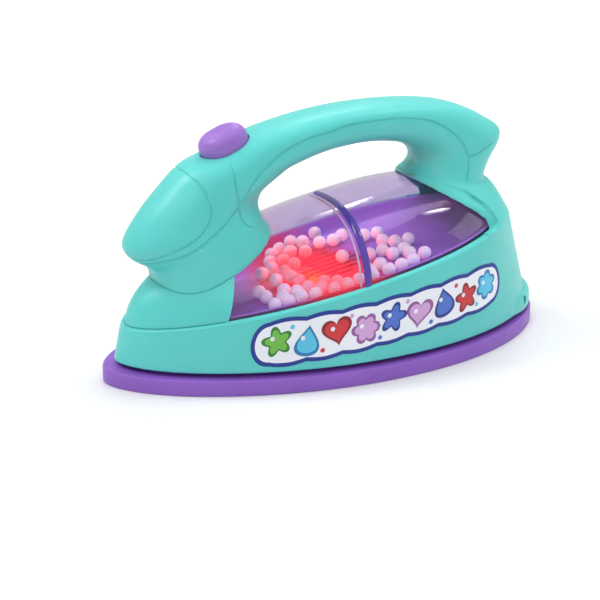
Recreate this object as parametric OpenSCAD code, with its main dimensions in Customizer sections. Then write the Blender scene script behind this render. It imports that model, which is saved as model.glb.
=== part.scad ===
// Toy iron with a clear ball chamber: a light and a fan start when the handle button is pressed.
// Tip towards -X, heel towards +X, near side -Y, the sole rests on z = 0.

/* [Sole] */
// Length of the sole from tip to heel
sole_l = 190; // [180:1:200]
// Width of the sole at its widest
sole_w = 91.6; // [88:0.2:96]
// Thickness of the sole's rim
sole_t = 6.3; // [5.5:0.1:7.5]
// Height of the raised pedestal above the sole
pedestal_h = 4.2; // [3.6:0.1:5]
// Rounded step along the sole's top edge
sole_edge = 1.2; // [0.6:0.1:1.6]

/* [Housing] */
// Height of the handle's top above the table
toy_h = 98.5; // [96:0.5:102]
// Width of the handle bar
handle_w = 26; // [24:0.5:28]
// Wall of the housing shells
wall = 2.2; // [1.8:0.1:2.6]
// Gap between the sole and the band
band_gap = 1.9; // [1.2:0.1:2.6]
// Band inset from the sole's outline along the sides
band_inset = 2.2; // [1.5:0.1:3]
// Band inset from the sole at the tip
band_tip_inset = 4.8; // [4:0.1:6]
// Extra inset of the band at its rim
rim_inset = 1.6; // [1:0.1:2.2]
// Height of the rim at mid length
rim_mid_z = 37.8; // [36:0.2:40]
// Tilt of the rim in degrees
rim_tilt = 10.4; // [9.5:0.1:11]

/* [Dome] */
// Height of the dome above the rim
dome_h = 23.5; // [22:0.2:25]
// Wall of the clear dome
dome_wall = 1.6; // [1.2:0.1:2]
// Width of the strip across the dome
strip_w = 3; // [2:0.1:4]
// Diameter of a foam ball
ball_d = 5.3; // [4.8:0.1:5.6]

/* [Button] */
// Length of the button along the handle
button_l = 21; // [19:0.5:23]
// Width of the button
button_w = 16.4; // [14:0.2:17.5]
// Height of the button above the handle
button_h = 6.8; // [5.6:0.2:8]
// Travel of the button
button_travel = 3; // [2:0.1:3.4]

/* [Drive] */
// Diameter of the motor can
motor_d = 24.4; // [22:0.2:25]
// Height of the motor can
motor_h = 12.3; // [11:0.1:12.5]
// Diameter of the motor shaft
shaft_d = 2; // [1.8:0.1:2.4]
// Diameter of the fan
fan_d = 26; // [24:0.5:27]
// Blades of the fan
fan_blades = 5; // [3:1:7]

/* [Battery] */
// Diameter of a cell
cell_d = 14.2; // [13.8:0.1:14.4]
// Length of a cell without its cap
cell_l = 49.5; // [48:0.1:50]
// Thickness of the battery door
door_t = 2.2; // [1.8:0.1:2.6]

/* [Hidden] */

teal = "#62c2c0";
purple = "#8a5fb8";
violet = [0.45, 0.33, 0.62, 0.45];
steel = "silver";

// Shared clearances and overruns
fit_gap = 0.2;
slide_gap = 0.35;
air_gap = 0.3;
over = 1;
round_fn = 40;
ball_fn = 14;

// Outline of the plan: powers of the bow and heel curves, place of the widest point
wide_x_share = 0.004;
wide_x = wide_x_share * sole_l;
bow_powers = [1.79, 1.69];
heel_powers = [2.25, 1.53];
rim_heel_powers = [2.8, 1.9];
dome_heel_powers = [2.7, 1.85];
quarter = 11;

function bow_x(front, t) = wide_x - (wide_x - front) * pow(cos(t), 2 / bow_powers[0]);
function heel_x(rear, t, powers) = wide_x + (rear - wide_x) * pow(cos(t), 2 / powers[0]);
function half_width(x, front, rear, hw, powers) = x < wide_x
    ? hw * pow(max(0, 1 - pow((wide_x - x) / (wide_x - front), bow_powers[0])), 1 / bow_powers[1])
    : hw * pow(max(0, 1 - pow((x - wide_x) / (rear - wide_x), powers[0])), 1 / powers[1]);
function bow_quarter(front, hw, side) = [for (i = [0 : quarter])
    let (t = i * 90 / quarter) [bow_x(front, t), side * hw * pow(sin(t), 2 / bow_powers[1])]];
function heel_quarter(rear, hw, side, powers) = [for (i = [1 : quarter])
    let (t = 90 - i * 90 / quarter) [heel_x(rear, t, powers), side * hw * pow(sin(t), 2 / powers[1])]];
function half_outline(front, rear, hw, side, powers) =
    concat(bow_quarter(front, hw, side), heel_quarter(rear, hw, side, powers));
function inner_reversed(list) = [for (i = [len(list) - 2 : -1 : 1]) list[i]];
function outline(front, rear, hw, powers) = concat(half_outline(front, rear, hw, -1, powers),
    inner_reversed(half_outline(front, rear, hw, 1, powers)));
function sole_outline(inset) =
    outline(inset - sole_l / 2, sole_l / 2 - inset, sole_w / 2 - inset, heel_powers);

// Heights
pedestal_z = sole_t + pedestal_h;
band_z = sole_t + band_gap;
rim_turn_x_share = 0.33;
rim_turn_x = rim_turn_x_share * sole_l;
rim_turn_r = 42;
function rim_z(x) = rim_mid_z + tan(rim_tilt) * x - pow(max(0, x - rim_turn_x), 2) / (2 * rim_turn_r);

// Band: bottom and rim outlines
band_front = band_tip_inset - sole_l / 2;
band_rear = sole_l / 2 - band_inset;
band_hw = sole_w / 2 - band_inset;
rim_front_lean = 3;
rim_rear_lean = 13.5;
rim_front = band_front + rim_front_lean;
rim_rear = band_rear - rim_rear_lean;
rim_hw = band_hw - rim_inset;
band_levels = 2;
function band_ring(s, inset, low, high) = [for (i = [0 : 4 * quarter - 1]) let (
    bottom = outline(band_front + inset, band_rear - inset, band_hw - inset, heel_powers)[i],
    top = outline(rim_front + inset, rim_rear - inset, rim_hw - inset, rim_heel_powers)[i])
    [bottom[0] + s * (top[0] - bottom[0]), bottom[1] + s * (top[1] - bottom[1]),
    band_z - low + s * (rim_z(top[0]) + high - band_z + low)]];
module band_form(inset, low, high) {
    skin([for (k = [0 : band_levels]) band_ring(k / band_levels, inset, low, high)]);
}

// A freeform moulding is evaluated as one mesh
module moulded() {
    resize([0, 0, 0]) children();
}

// Rings of equal length joined into one closed skin
function middle(ring) = [for (k = [0 : 2]) [for (p = ring) 1] * [for (p = ring) p[k]] / len(ring)];
module skin(rings) {
    n = len(rings[0]);
    m = len(rings);
    points = concat([for (r = rings) each r], [middle(rings[0]), middle(rings[m - 1])]);
    sides = [for (k = [0 : m - 2], i = [0 : n - 1]) let (j = (i + 1) % n)
        each [[k * n + i, k * n + n + i, k * n + j], [k * n + j, k * n + n + i, k * n + n + j]]];
    first_cap = [for (i = [0 : n - 1]) [n * m, i, (i + 1) % n]];
    last_cap = [for (i = [0 : n - 1]) [n * m + 1, n * m - n + (i + 1) % n, n * m - n + i]];
    polyhedron(points, concat(sides, first_cap, last_cap), convexity = 8);
}

// Bubble: the front bulge and the clear dome share one surface
bubble_crest_x_share = 0.026;
bubble_front_inset = 0.6;
bubble_rear_inset = 1.8;
bubble_side_inset = 1.2;
bubble_front = rim_front + bubble_front_inset;
bubble_rear = rim_rear - bubble_rear_inset;
bubble_hw = rim_hw - bubble_side_inset;
crest_x = bubble_crest_x_share * sole_l;
crest_powers = [3, 2.2];
side_powers = [2.39, 1.49];
dome_seat = 3;
arc_steps = 16;
function crest_h(x, inset) = let (
    reach = x < crest_x ? crest_x - bubble_front - inset : bubble_rear - inset - crest_x,
    power = x < crest_x ? crest_powers[0] : crest_powers[1])
    (dome_h - inset) * sqrt(max(0, 1 - pow(abs(x - crest_x) / reach, power)));
function bubble_w(x, inset) =
    half_width(x, bubble_front + inset, bubble_rear - inset, bubble_hw - inset, dome_heel_powers);
function arc_z(x, a, inset) = rim_z(x) + crest_h(x, inset) * pow(sin(a), 2 / side_powers[1]);
function arc_y(x, a, inset) = let (c = cos(a))
    -sign(c) * bubble_w(x, inset) * pow(abs(c), 2 / side_powers[0]);
// A station leans along the handle as its lean says
function leaning_x(x, lean, a, inset) = let (x1 = x + lean * (arc_z(x, a, inset) - rim_z(x)))
    x + lean * (arc_z(x1, a, inset) - rim_z(x));
function bubble_point(x, lean, a, inset) = let (x2 = leaning_x(x, lean, a, inset))
    [x2, arc_y(x2, a, inset), arc_z(x2, a, inset)];
function bubble_arc(x, lean, inset) = [for (i = [0 : arc_steps])
    bubble_point(x, lean, i * 180 / arc_steps, inset)];
function bubble_ring(x, lean, inset, depth) = let (arc = bubble_arc(x, lean, inset))
    concat([[arc[0][0], arc[0][1], rim_z(x) - depth]], arc,
    [[arc[arc_steps][0], arc[arc_steps][1], rim_z(x) - depth]]);
end_margin = 0.4;
window_x_share = -0.289;
window_x = window_x_share * sole_l;
window_lean = 0.36;
lean_reach_share = 0.16;
function station_lean(x) = window_lean * exp(-pow((x - window_x) / (lean_reach_share * sole_l), 2))
    * min(1, max(0, (x - bubble_front) / (window_x - bubble_front)));
function spread(from, to, steps) = [for (i = [0 : steps])
    from + (to - from) * (1 - cos(i * 180 / steps)) / 2];
module bubble_form(from, to, inset, depth, steps) {
    skin([for (x = spread(to, from, steps)) bubble_ring(x, station_lean(x), inset, depth)]);
}
bulge_steps = 8;
dome_steps = 14;
dome_front = window_x;
dome_rear = bubble_rear - end_margin;

// Handle: each row gives the inner and outer profile points and the half width of one section.
// The columns are shares of the sole length, the toy height and the bar width, and the section's power.
handle_shares = [
    [-0.158, 0.467, -0.368, 0.305, 0.900, 2.1], [-0.132, 0.538, -0.408, 0.350, 0.908, 2.1],
    [-0.141, 0.599, -0.395, 0.406, 0.838, 2.1], [-0.147, 0.640, -0.408, 0.447, 0.792, 2.1],
    [-0.149, 0.670, -0.434, 0.487, 0.746, 2.0], [-0.145, 0.701, -0.449, 0.534, 0.700, 2.0],
    [-0.137, 0.731, -0.437, 0.589, 0.669, 2.0], [-0.126, 0.753, -0.408, 0.662, 0.650, 2.1],
    [-0.112, 0.774, -0.369, 0.741, 0.627, 2.2], [-0.095, 0.792, -0.325, 0.818, 0.596, 2.3],
    [-0.074, 0.808, -0.268, 0.862, 0.565, 2.5], [-0.047, 0.822, -0.205, 0.911, 0.538, 2.6],
    [-0.018, 0.835, -0.137, 0.948, 0.519, 2.7], [0.016, 0.843, -0.058, 0.978, 0.508, 2.7],
    [0.053, 0.848, 0.026, 0.996, 0.500, 2.7], [0.089, 0.847, 0.111, 1.000, 0.500, 2.7],
    [0.126, 0.839, 0.195, 0.991, 0.508, 2.7], [0.155, 0.826, 0.263, 0.971, 0.523, 2.6],
    [0.176, 0.808, 0.320, 0.934, 0.546, 2.5], [0.191, 0.786, 0.364, 0.889, 0.569, 2.4],
    [0.199, 0.763, 0.391, 0.841, 0.585, 2.3], [0.201, 0.741, 0.397, 0.796, 0.600, 2.2],
    [0.199, 0.721, 0.391, 0.726, 0.615, 2.2], [0.194, 0.705, 0.387, 0.665, 0.654, 2.2],
    [0.188, 0.690, 0.384, 0.609, 0.731, 2.2], [0.184, 0.675, 0.392, 0.560, 0.865, 2.2],
    [0.189, 0.629, 0.416, 0.508, 1.020, 2.2], [0.221, 0.528, 0.424, 0.447, 1.077, 2.2]];
section_sides = 16;
function handle_row(i) = let (r = handle_shares[i])
    [r[0] * sole_l, r[1] * toy_h, r[2] * sole_l, r[3] * toy_h, r[4] * handle_w, r[5]];
function section(row, inset) = let (
    from = [row[0], 0, row[1]],
    to = [row[2], 0, row[3]],
    reach = norm(to - from) / 2 - inset,
    along = (to - from) / norm(to - from))
    [for (i = [0 : section_sides - 1]) let (t = i * 360 / section_sides, c = cos(t), s = sin(t))
    (from + to) / 2 + along * reach * sign(c) * pow(abs(c), 2 / row[5])
    + [0, (row[4] - inset) * sign(s) * pow(abs(s), 2 / row[5]), 0]];
module handle_form(inset) {
    skin([for (i = [len(handle_shares) - 1 : -1 : 0]) section(handle_row(i), inset)]);
}

// Collar: a skin over the rear of the dome behind a slanted plane
collar_t = 1.7;
collar_top_x_share = 0.186;
collar_top_z_share = 0.688;
collar_slope = 32.4;
module behind_collar() {
    translate([collar_top_x_share * sole_l, 0, collar_top_z_share * toy_h]) rotate([0, collar_slope, 0])
        translate([-sole_l, -sole_w / 2, 0]) cube([2 * sole_l, sole_w, toy_h]);
}

// Nose cap: the part of the nose inside a round joint line
nose_mid_shares = [-0.405, 0.668];
nose_r_share = 0.118;
nose_r = nose_r_share * sole_l;
module nose_zone(gap) {
    translate([nose_mid_shares[0] * sole_l, 0, nose_mid_shares[1] * toy_h]) rotate([90, 0, 0])
        cylinder(r = nose_r - gap, h = sole_w, center = true, $fn = round_fn);
}

// Button axis: on the handle's top, square to it
button_x_share = -0.229;
button_z_share = 0.886;
button_tilt = -22.5;
module on_button_axis() {
    translate([button_x_share * sole_l, 0, button_z_share * toy_h]) rotate([0, button_tilt, 0]) children();
}
module stadium(length, width, height) {
    linear_extrude(height) {
        square([length - width, width], center = true);
        for (s = [-1, 1]) translate([s * (length - width) / 2, 0]) circle(d = width, $fn = round_fn);
    }
}
flange_t = 1.4;
flange_lip = 1;
flange_drop = 6.4;
guide_wall = 1.2;
stem_d = 5;
stem_l = 0.6;
plunger_d = 3;
plunger_up = 3.4;
plunger_in = 1;
switch_side = 8;
switch_t = 4.6;
plate_t = 1.6;
plunger_top = -(flange_drop + flange_t + stem_l + fit_gap);
switch_top = plunger_top - plunger_up;
plate_top = switch_top - switch_t;
plate_d = 14.6;
shelf_l = 8;
shelf_lap = 2;
shelf_t = 1.6;

// Screws
screw_d = 2.6;
screw_head_d = 5;
screw_head_h = 1.8;
boss_d = 6.4;
post_d = 7;
housing_screw_shares = [[-0.245, 0.62], [0.03, 0.925], [0.31, 0.78]];
housing_screw_l = 12;
housing_head_y = 6;
post_x_shares = [-0.34, -0.09, 0.33];
post_in = 6.5;
post_top = 12;
function post_y(x) = half_width(x, band_front, band_rear, band_hw, heel_powers) - wall - post_in;
module at_posts(side) {
    for (s = post_x_shares) translate([s * sole_l, side * post_y(s * sole_l), 0]) children();
}
module at_housing_screws() {
    for (s = housing_screw_shares) translate([s[0] * sole_l, 0, s[1] * toy_h]) children();
}
module screw(shank_l, head_h) {
    cylinder(d = screw_head_d, h = head_h, $fn = round_fn);
    translate([0, 0, head_h]) cylinder(d = screw_d, h = shank_l, $fn = round_fn);
}
pilot_d = screw_d + fit_gap / 2;
head_hole_d = screw_head_d + 2 * fit_gap;
sole_screw_l = 11;
sole_sink = 2;

// Heel ledge: the heel's foot stands proud of the band and has a small blind hole on each side
heel_ledge_x_share = 0.4;
heel_ledge_x = heel_ledge_x_share * sole_l;
heel_ledge_inset = 0.8;
heel_ledge_h = 7;
heel_hole_d = 3.6;
heel_hole_depth = 4;
heel_hole_rise = 3.6;
heel_hole_x_share = 0.437;
heel_hole_turn = 48;
module heel_ledge() {
    intersection() {
        translate([0, 0, band_z]) linear_extrude(heel_ledge_h) polygon(sole_outline(heel_ledge_inset));
        translate([heel_ledge_x, -sole_w / 2, 0]) cube([sole_l, sole_w, toy_h]);
    }
}
module heel_hole(side) {
    x = heel_hole_x_share * sole_l;
    y = half_width(x, -sole_l / 2, sole_l / 2, sole_w / 2, heel_powers);
    translate([x, side * y, band_z + heel_hole_rise]) rotate([0, 90, side * heel_hole_turn])
        translate([0, 0, -heel_hole_depth]) cylinder(d = heel_hole_d, h = sole_w, $fn = round_fn);
}

module outer_forms() {
    band_form(0, 0, 0);
    bubble_form(bubble_front + end_margin, window_x - fit_gap, 0, dome_seat, bulge_steps);
    handle_form(0);
    intersection() {
        bubble_form(window_x, bubble_rear - end_margin, -collar_t, dome_seat, dome_steps);
        behind_collar();
    }
    heel_ledge();
}
module inner_forms() {
    band_form(wall, over, over);
    bubble_form(bubble_front + wall + end_margin, window_x + over, wall, dome_seat + over, bulge_steps);
    handle_form(wall);
}
// Bulkhead: closes the bulge where the clear dome meets it
bulkhead_steps = 2;
module bulkhead() {
    bubble_form(window_x - wall, window_x - 2 * fit_gap, wall / 2, dome_seat, bulkhead_steps);
}
module dome_space() {
    bubble_form(dome_front - fit_gap, bubble_rear, -fit_gap, dome_seat + fit_gap, dome_steps);
}
module half_space(side) {
    translate([-sole_l, side < 0 ? -sole_w : 0, 0]) cube([2 * sole_l, sole_w, 2 * toy_h]);
}
module button_column(margin, from, height) {
    on_button_axis() translate([0, 0, from]) stadium(button_l + 2 * margin, button_w + 2 * margin, height);
}
module housing_shell() {
    difference() {
        outer_forms();
        inner_forms();
        dome_space();
        nose_zone(0);
    }
    bulkhead();
}
// Screw bosses, the button's guide and the switch shelves inside the handle, posts inside the band
module handle_fittings(side) {
    at_housing_screws() rotate([90, 0, 0]) cylinder(d = boss_d, h = sole_w, center = true, $fn = round_fn);
    button_column(slide_gap + guide_wall, slide_gap - flange_drop, toy_h);
    on_button_axis() mirror([0, side < 0 ? 1 : 0, 0])
        translate([-shelf_l / 2, plate_d / 2 - shelf_lap, plate_top - plate_t - shelf_t])
            cube([shelf_l, sole_w, shelf_t]);
}
module post(side) {
    cylinder(d = post_d, h = post_top, $fn = round_fn);
    mirror([0, side < 0 ? 1 : 0, 0]) translate([-wall / 2, 0, 0]) cube([wall, post_in + 2 * wall, post_top]);
}
module housing_fittings(side) {
    intersection() {
        handle_fittings(side);
        handle_form(wall / 2);
    }
    intersection() {
        at_posts(side) translate([0, 0, pedestal_z]) post(side);
        band_form(wall / 2, 0, 0);
    }
}
module housing_half(side) {
    color(teal) difference() {
        moulded() intersection() {
            union() {
                housing_shell();
                housing_fittings(side);
            }
            half_space(side);
        }
        button_column(slide_gap, -flange_drop - over, toy_h);
        heel_hole(side);
        at_posts(side) translate([0, 0, pedestal_z - over])
            cylinder(d = pilot_d, h = sole_screw_l, $fn = round_fn);
        at_housing_screws() rotate([90, 0, 0])
            cylinder(d = pilot_d, h = 2 * housing_screw_l, center = true, $fn = round_fn);
        if (side > 0) at_housing_screws() translate([0, housing_head_y, 0]) rotate([-90, 0, 0])
            cylinder(d = head_hole_d, h = sole_w, $fn = round_fn);
    }
}
module housing_left() { housing_half(-1); }
module housing_right() { housing_half(1); }
module nose_cap() {
    color(teal) moulded() intersection() {
        difference() {
            handle_form(0);
            handle_form(wall);
        }
        nose_zone(fit_gap);
    }
}
module housing_screws() {
    color(steel) at_housing_screws() translate([0, housing_head_y + screw_head_h, 0]) rotate([90, 0, 0])
        screw(housing_screw_l, screw_head_h);
}

// Clear dome, its cross strip and the ball tray
module dome() {
    outer = [for (x = spread(dome_rear, dome_front, dome_steps)) bubble_ring(x, station_lean(x), 0, dome_seat)];
    inner = [for (x = spread(dome_rear - dome_wall, dome_front, dome_steps))
        bubble_ring(x, station_lean(x), dome_wall, dome_seat)];
    rings = [for (k = [0 : dome_steps]) concat(outer[k], [for (i = [arc_steps + 2 : -1 : 0]) inner[k][i]])];
    color(violet) tube_skin(rings);
}
// Rings of equal length joined into a skin whose ends are closed as strips
module tube_skin(rings) {
    n = len(rings[0]);
    m = len(rings);
    sides = [for (k = [0 : m - 2], i = [0 : n - 1]) let (j = (i + 1) % n)
        each [[k * n + i, k * n + n + i, k * n + j], [k * n + j, k * n + n + i, k * n + n + j]]];
    first_end = [for (i = [0 : n / 2 - 2])
        each [[i, i + 1, n - 1 - i], [i + 1, n - 2 - i, n - 1 - i]]];
    last = n * (m - 1);
    last_end = [for (i = [0 : n / 2 - 2]) let (a = last + i, b = last + n - 1 - i)
        each [[a, b, a + 1], [a + 1, b, b - 1]]];
    polyhedron([for (r = rings) each r], concat(sides, first_end, last_end), convexity = 8);
}
strip_x_share = -0.012;
strip_lean = 0.1;
strip_proud = 0.9;
// The strip climbs from the near rim to just past the ridge
strip_steps = arc_steps / 2 + 2;
module dome_strip() {
    x0 = strip_x_share * sole_l;
    rings = [for (s = [1, -1]) let (x = x0 + s * strip_w / 2)
        concat([for (i = [0 : strip_steps]) bubble_ring(x, strip_lean, -strip_proud, 0)[i]],
        [for (i = [strip_steps : -1 : 0]) bubble_ring(x, strip_lean, -fit_gap / 4, 0)[i]])];
    color("#4b3a86") tube_skin(rings);
}
tray_floor = 4;
tray_t = 1.6;
tray_slope_in = 4;
tray_lip = 0.6;
tray_gap = 0.7;
function tray_ring(inset, rise) = let (
    front = window_x + wall + inset,
    rear = bubble_rear - dome_wall - tray_gap - inset,
    hw = bubble_hw - dome_wall - tray_gap - inset)
    [for (p = tray_outline(front, rear, hw)) [p[0], p[1], rim_z(p[0]) + rise]];
function tray_hw(x, rear, hw, inset) = half_width(x, bubble_front + inset, rear, hw, dome_heel_powers);
function tray_outline(front, rear, hw) = let (
    inset = bubble_hw - hw,
    xs = [for (i = [0 : 2 * quarter]) front + (rear - front) * sin(i * 90 / (2 * quarter))])
    concat([for (x = xs) [x, -tray_hw(x, rear, hw, inset)]],
    [for (i = [2 * quarter - 1 : -1 : 0]) [xs[i], tray_hw(xs[i], rear, hw, inset)]]);
fan_x_share = 0.005;
fan_x = fan_x_share * sole_l;
slot_w = 2.4;
slot_count = 7;
slot_pitch = 4;
led_shares = [-0.068, -0.16];
led_x = led_shares[0] * sole_l;
led_y = led_shares[1] * sole_w;
led_d = 5;
tray_leg_d = 5;
tray_leg_shares = [[-0.16, 0.27], [0.22, 0.30]];
module tray_legs() {
    for (s = tray_leg_shares, side = [-1, 1]) let (x = s[0] * sole_l)
        translate([x, side * s[1] * sole_w, pedestal_z])
            cylinder(d = tray_leg_d, h = rim_z(x) - tray_floor - tray_t / 2 - pedestal_z, $fn = round_fn);
}
module ball_tray() {
    color(purple) difference() {
        union() {
            skin([tray_ring(tray_slope_in + tray_t, -tray_floor - tray_t), tray_ring(0, tray_lip),
                tray_ring(tray_t, tray_lip), tray_ring(tray_slope_in + tray_t, -tray_floor)]);
            tray_legs();
        }
        for (i = [0 : slot_count - 1]) let (y = (i - (slot_count - 1) / 2) * slot_pitch,
            half = sqrt(pow(fan_d / 2, 2) - y * y))
            translate([fan_x - half, y - slot_w / 2, pedestal_z]) cube([2 * half, slot_w, toy_h]);
        translate([led_x, led_y, pedestal_z]) cylinder(d = led_d + 2 * fit_gap, h = toy_h, $fn = round_fn);
    }
}

// Foam balls: strewn one deep over the tilted floor, each near a place of a staggered grid
ball_slack = 1.4;
ball_drift = 0.45;
ball_pitch = ball_d + ball_slack;
row_rise = sqrt(3) / 2;
front_rows = 11;
front_columns = 6;
front_from_shares = [-0.184, -0.34];
front_fill_share = 0.62;
front_seed = 4;
rear_rows = 9;
rear_columns = 4;
rear_from_shares = [0.05, -0.36];
rear_fill_share = 0.6;
rear_seed = 9;
function floor_top(x) = rim_z(x) - tray_floor;
function floor_hw(x) = let (inset = dome_wall + tray_gap + tray_slope_in + tray_t)
    half_width(x, bubble_front + inset, bubble_rear - inset, bubble_hw - inset, dome_heel_powers);
function ball_fits(x, y) = abs(y) + ball_d / 2 + air_gap < floor_hw(x)
    && norm([x - led_x, y - led_y]) > (led_d + ball_d) / 2 + air_gap;
function ball_places(from_shares, rows, columns, fill_share, seed) = let (
    luck = rands(0, 1, 3 * rows * columns, seed))
    [for (r = [0 : rows - 1], i = [0 : columns - 1]) let (
    k = 3 * (r * columns + i),
    x = from_shares[0] * sole_l + (i + r % 2 / 2) * ball_pitch + (2 * luck[k] - 1) * ball_drift,
    y = from_shares[1] * sole_w + r * ball_pitch * row_rise + (2 * luck[k + 1] - 1) * ball_drift)
    if (luck[k + 2] < fill_share && ball_fits(x, y)) [x, y]];
module ball_pile(places) {
    color("whitesmoke") for (p = places)
        translate([p[0], p[1], floor_top(p[0]) + ball_d / 2 / cos(rim_tilt) + fit_gap])
            sphere(d = ball_d, $fn = ball_fn);
}
module foam_balls_front() {
    ball_pile(ball_places(front_from_shares, front_rows, front_columns, front_fill_share, front_seed));
}
module foam_balls_rear() {
    ball_pile(ball_places(rear_from_shares, rear_rows, rear_columns, rear_fill_share, rear_seed));
}

// Push button, its spring and the switch
button_edge = 1.6;
module button() {
    color(purple) on_button_axis() {
        translate([0, 0, -flange_drop]) stadium(button_l, button_w, flange_drop + button_h - button_edge);
        translate([0, 0, button_h - button_edge])
            stadium(button_l - button_edge, button_w - button_edge, button_edge);
        translate([0, 0, -flange_drop - flange_t])
            stadium(button_l + 2 * flange_lip, button_w + 2 * flange_lip, flange_t);
        translate([0, 0, -flange_drop - flange_t - stem_l]) cylinder(d = stem_d, h = stem_l, $fn = round_fn);
    }
}
spring_d = 13;
spring_wire = 0.8;
module ring_tube(outer, inner, height) {
    difference() {
        cylinder(d = outer, h = height, $fn = round_fn);
        translate([0, 0, -over]) cylinder(d = inner, h = height + 2 * over, $fn = round_fn);
    }
}
module button_spring() {
    spring_room = -flange_drop - flange_t - plate_top;
    color(steel) on_button_axis() translate([0, 0, plate_top + fit_gap / 2])
        ring_tube(spring_d + spring_wire, spring_d - spring_wire, spring_room - fit_gap);
}
module switch_plate() {
    color("#2d6b4a") on_button_axis() translate([0, 0, plate_top - plate_t])
        cylinder(d = plate_d, h = plate_t, $fn = round_fn);
}
module switch_body() {
    color("#222222") on_button_axis() difference() {
        translate([-switch_side / 2, -switch_side / 2, plate_top])
            cube([switch_side, switch_side, switch_t]);
        translate([0, 0, plate_top + over / 2])
            cylinder(d = plunger_d + fit_gap, h = switch_t + over, $fn = round_fn);
    }
}
module switch_plunger() {
    color("white") on_button_axis() translate([0, 0, switch_top - plunger_in])
        cylinder(d = plunger_d, h = plunger_in + plunger_up, $fn = round_fn);
}

// Motor, fan and lamp
mount_wall = 1.8;
mount_h = 7;
mount_floor = 1.2;
ear_l = 8;
ear_t = 2.4;
motor_z = pedestal_z + mount_floor;
shaft_in = 5;
motor_boss_d = 6.2;
motor_boss_h = 1;
module motor_mount() {
    color("#3a3a40") translate([fan_x, 0, pedestal_z]) {
        difference() {
            cylinder(d = motor_d + 2 * fit_gap + 2 * mount_wall, h = mount_h, $fn = round_fn);
            translate([0, 0, mount_floor]) cylinder(d = motor_d + 2 * fit_gap, h = mount_h, $fn = round_fn);
        }
        for (turn = [0, 180]) rotate([0, 0, turn])
            translate([-ear_l / 2, motor_d / 2 + fit_gap + mount_wall / 2, 0]) cube([ear_l, ear_l, ear_t]);
    }
}
module motor_can() {
    color("lightgray") translate([fan_x, 0, motor_z]) difference() {
        union() {
            cylinder(d = motor_d, h = motor_h, $fn = round_fn);
            cylinder(d = motor_boss_d, h = motor_h + motor_boss_h, $fn = round_fn);
        }
        translate([0, 0, motor_h - shaft_in])
            cylinder(d = shaft_d + fit_gap / 2, h = shaft_in + 2 * over, $fn = round_fn);
    }
}
shaft_z = motor_z + motor_h - shaft_in + fit_gap;
fan_h = 4;
fan_hub_d = 7;
fan_z = motor_z + motor_h + motor_boss_h + air_gap;
blade_t = 1.2;
blade_pitch = 32;
module motor_shaft() {
    color(steel) translate([fan_x, 0, shaft_z])
        cylinder(d = shaft_d, h = fan_z + fan_h - shaft_z, $fn = round_fn);
}
module fan() {
    color("#e8e2f0") translate([fan_x, 0, fan_z]) difference() {
        union() {
            cylinder(d = fan_hub_d, h = fan_h, $fn = round_fn);
            intersection() {
                cylinder(d = fan_d, h = fan_h, $fn = round_fn);
                for (i = [0 : fan_blades - 1]) rotate([0, 0, i * 360 / fan_blades])
                    translate([0, 0, fan_h / 2]) rotate([blade_pitch, 0, 0])
                        translate([0, -blade_t / 2, -fan_h]) cube([fan_d, blade_t, 2 * fan_h]);
            }
        }
        translate([0, 0, -over]) cylinder(d = shaft_d, h = fan_h + 2 * over, $fn = round_fn);
    }
}
led_rise = 3.4;
led_flange_d = 6.4;
led_flange_h = 1;
board_d = 12;
board_t = 1.6;
led_seat_z = rim_z(led_x - led_flange_d / 2) - tray_floor - tray_t - air_gap / 2;
led_tip_z = rim_z(led_x) - tray_floor + led_rise;
module led() {
    color("red") translate([led_x, led_y, 0]) {
        translate([0, 0, led_seat_z - led_flange_h])
            cylinder(d = led_flange_d, h = led_flange_h, $fn = round_fn);
        translate([0, 0, led_seat_z - led_flange_h])
            cylinder(d = led_d, h = led_tip_z - led_d / 2 - led_seat_z + led_flange_h, $fn = round_fn);
        translate([0, 0, led_tip_z - led_d / 2]) sphere(d = led_d, $fn = round_fn);
    }
}
module led_board() {
    color("#2d6b4a") translate([led_x, led_y, led_seat_z - led_flange_h - board_t])
        cylinder(d = board_d, h = board_t, $fn = round_fn);
}

// Battery bay: as long as a cell with its contacts, at its place before the heel
cell_gap = 1;
cell_side_gap = 1;
bay_w = 2 * cell_d + cell_gap + 2 * cell_side_gap;
box_wall = 1.6;
door_lap = 2.4;
door_z = 0.4;
cell_z = door_z + door_t + air_gap + cell_d / 2;
cell_y = (cell_d + cell_gap) / 2;
box_top = cell_z + cell_d / 2 + air_gap + box_wall;
contact_t = 0.6;
contact_h = 10;
spring_l = 4.5;
cap_l = 1;
cap_d = 5.4;
bay_heel_room = 20.35;
bay_l = cell_l + spring_l + cap_l + 2 * (contact_t + fit_gap);
bay_x = sole_l / 2 - bay_heel_room - bay_l;
cell_x = bay_x + contact_t + fit_gap + spring_l;
module battery_box() {
    color("#3a3a40") difference() {
        translate([bay_x - box_wall, -bay_w / 2 - box_wall, pedestal_z])
            cube([bay_l + 2 * box_wall, bay_w + 2 * box_wall, box_top - pedestal_z]);
        translate([bay_x, -bay_w / 2, pedestal_z - over])
            cube([bay_l, bay_w, box_top - box_wall - pedestal_z + over]);
    }
}
module cell(side, turn) {
    translate([cell_x + cell_l / 2, side * cell_y, cell_z]) rotate([0, 0, turn]) rotate([0, 90, 0]) {
        translate([0, 0, -cell_l / 2]) cylinder(d = cell_d, h = cell_l, $fn = round_fn);
        translate([0, 0, cell_l / 2]) cylinder(d = cap_d, h = cap_l, $fn = round_fn);
    }
}
module cell_left() { color("#4a9a54") cell(-1, 0); }
module cell_right() { color("#4a9a54") cell(1, 180); }
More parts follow.
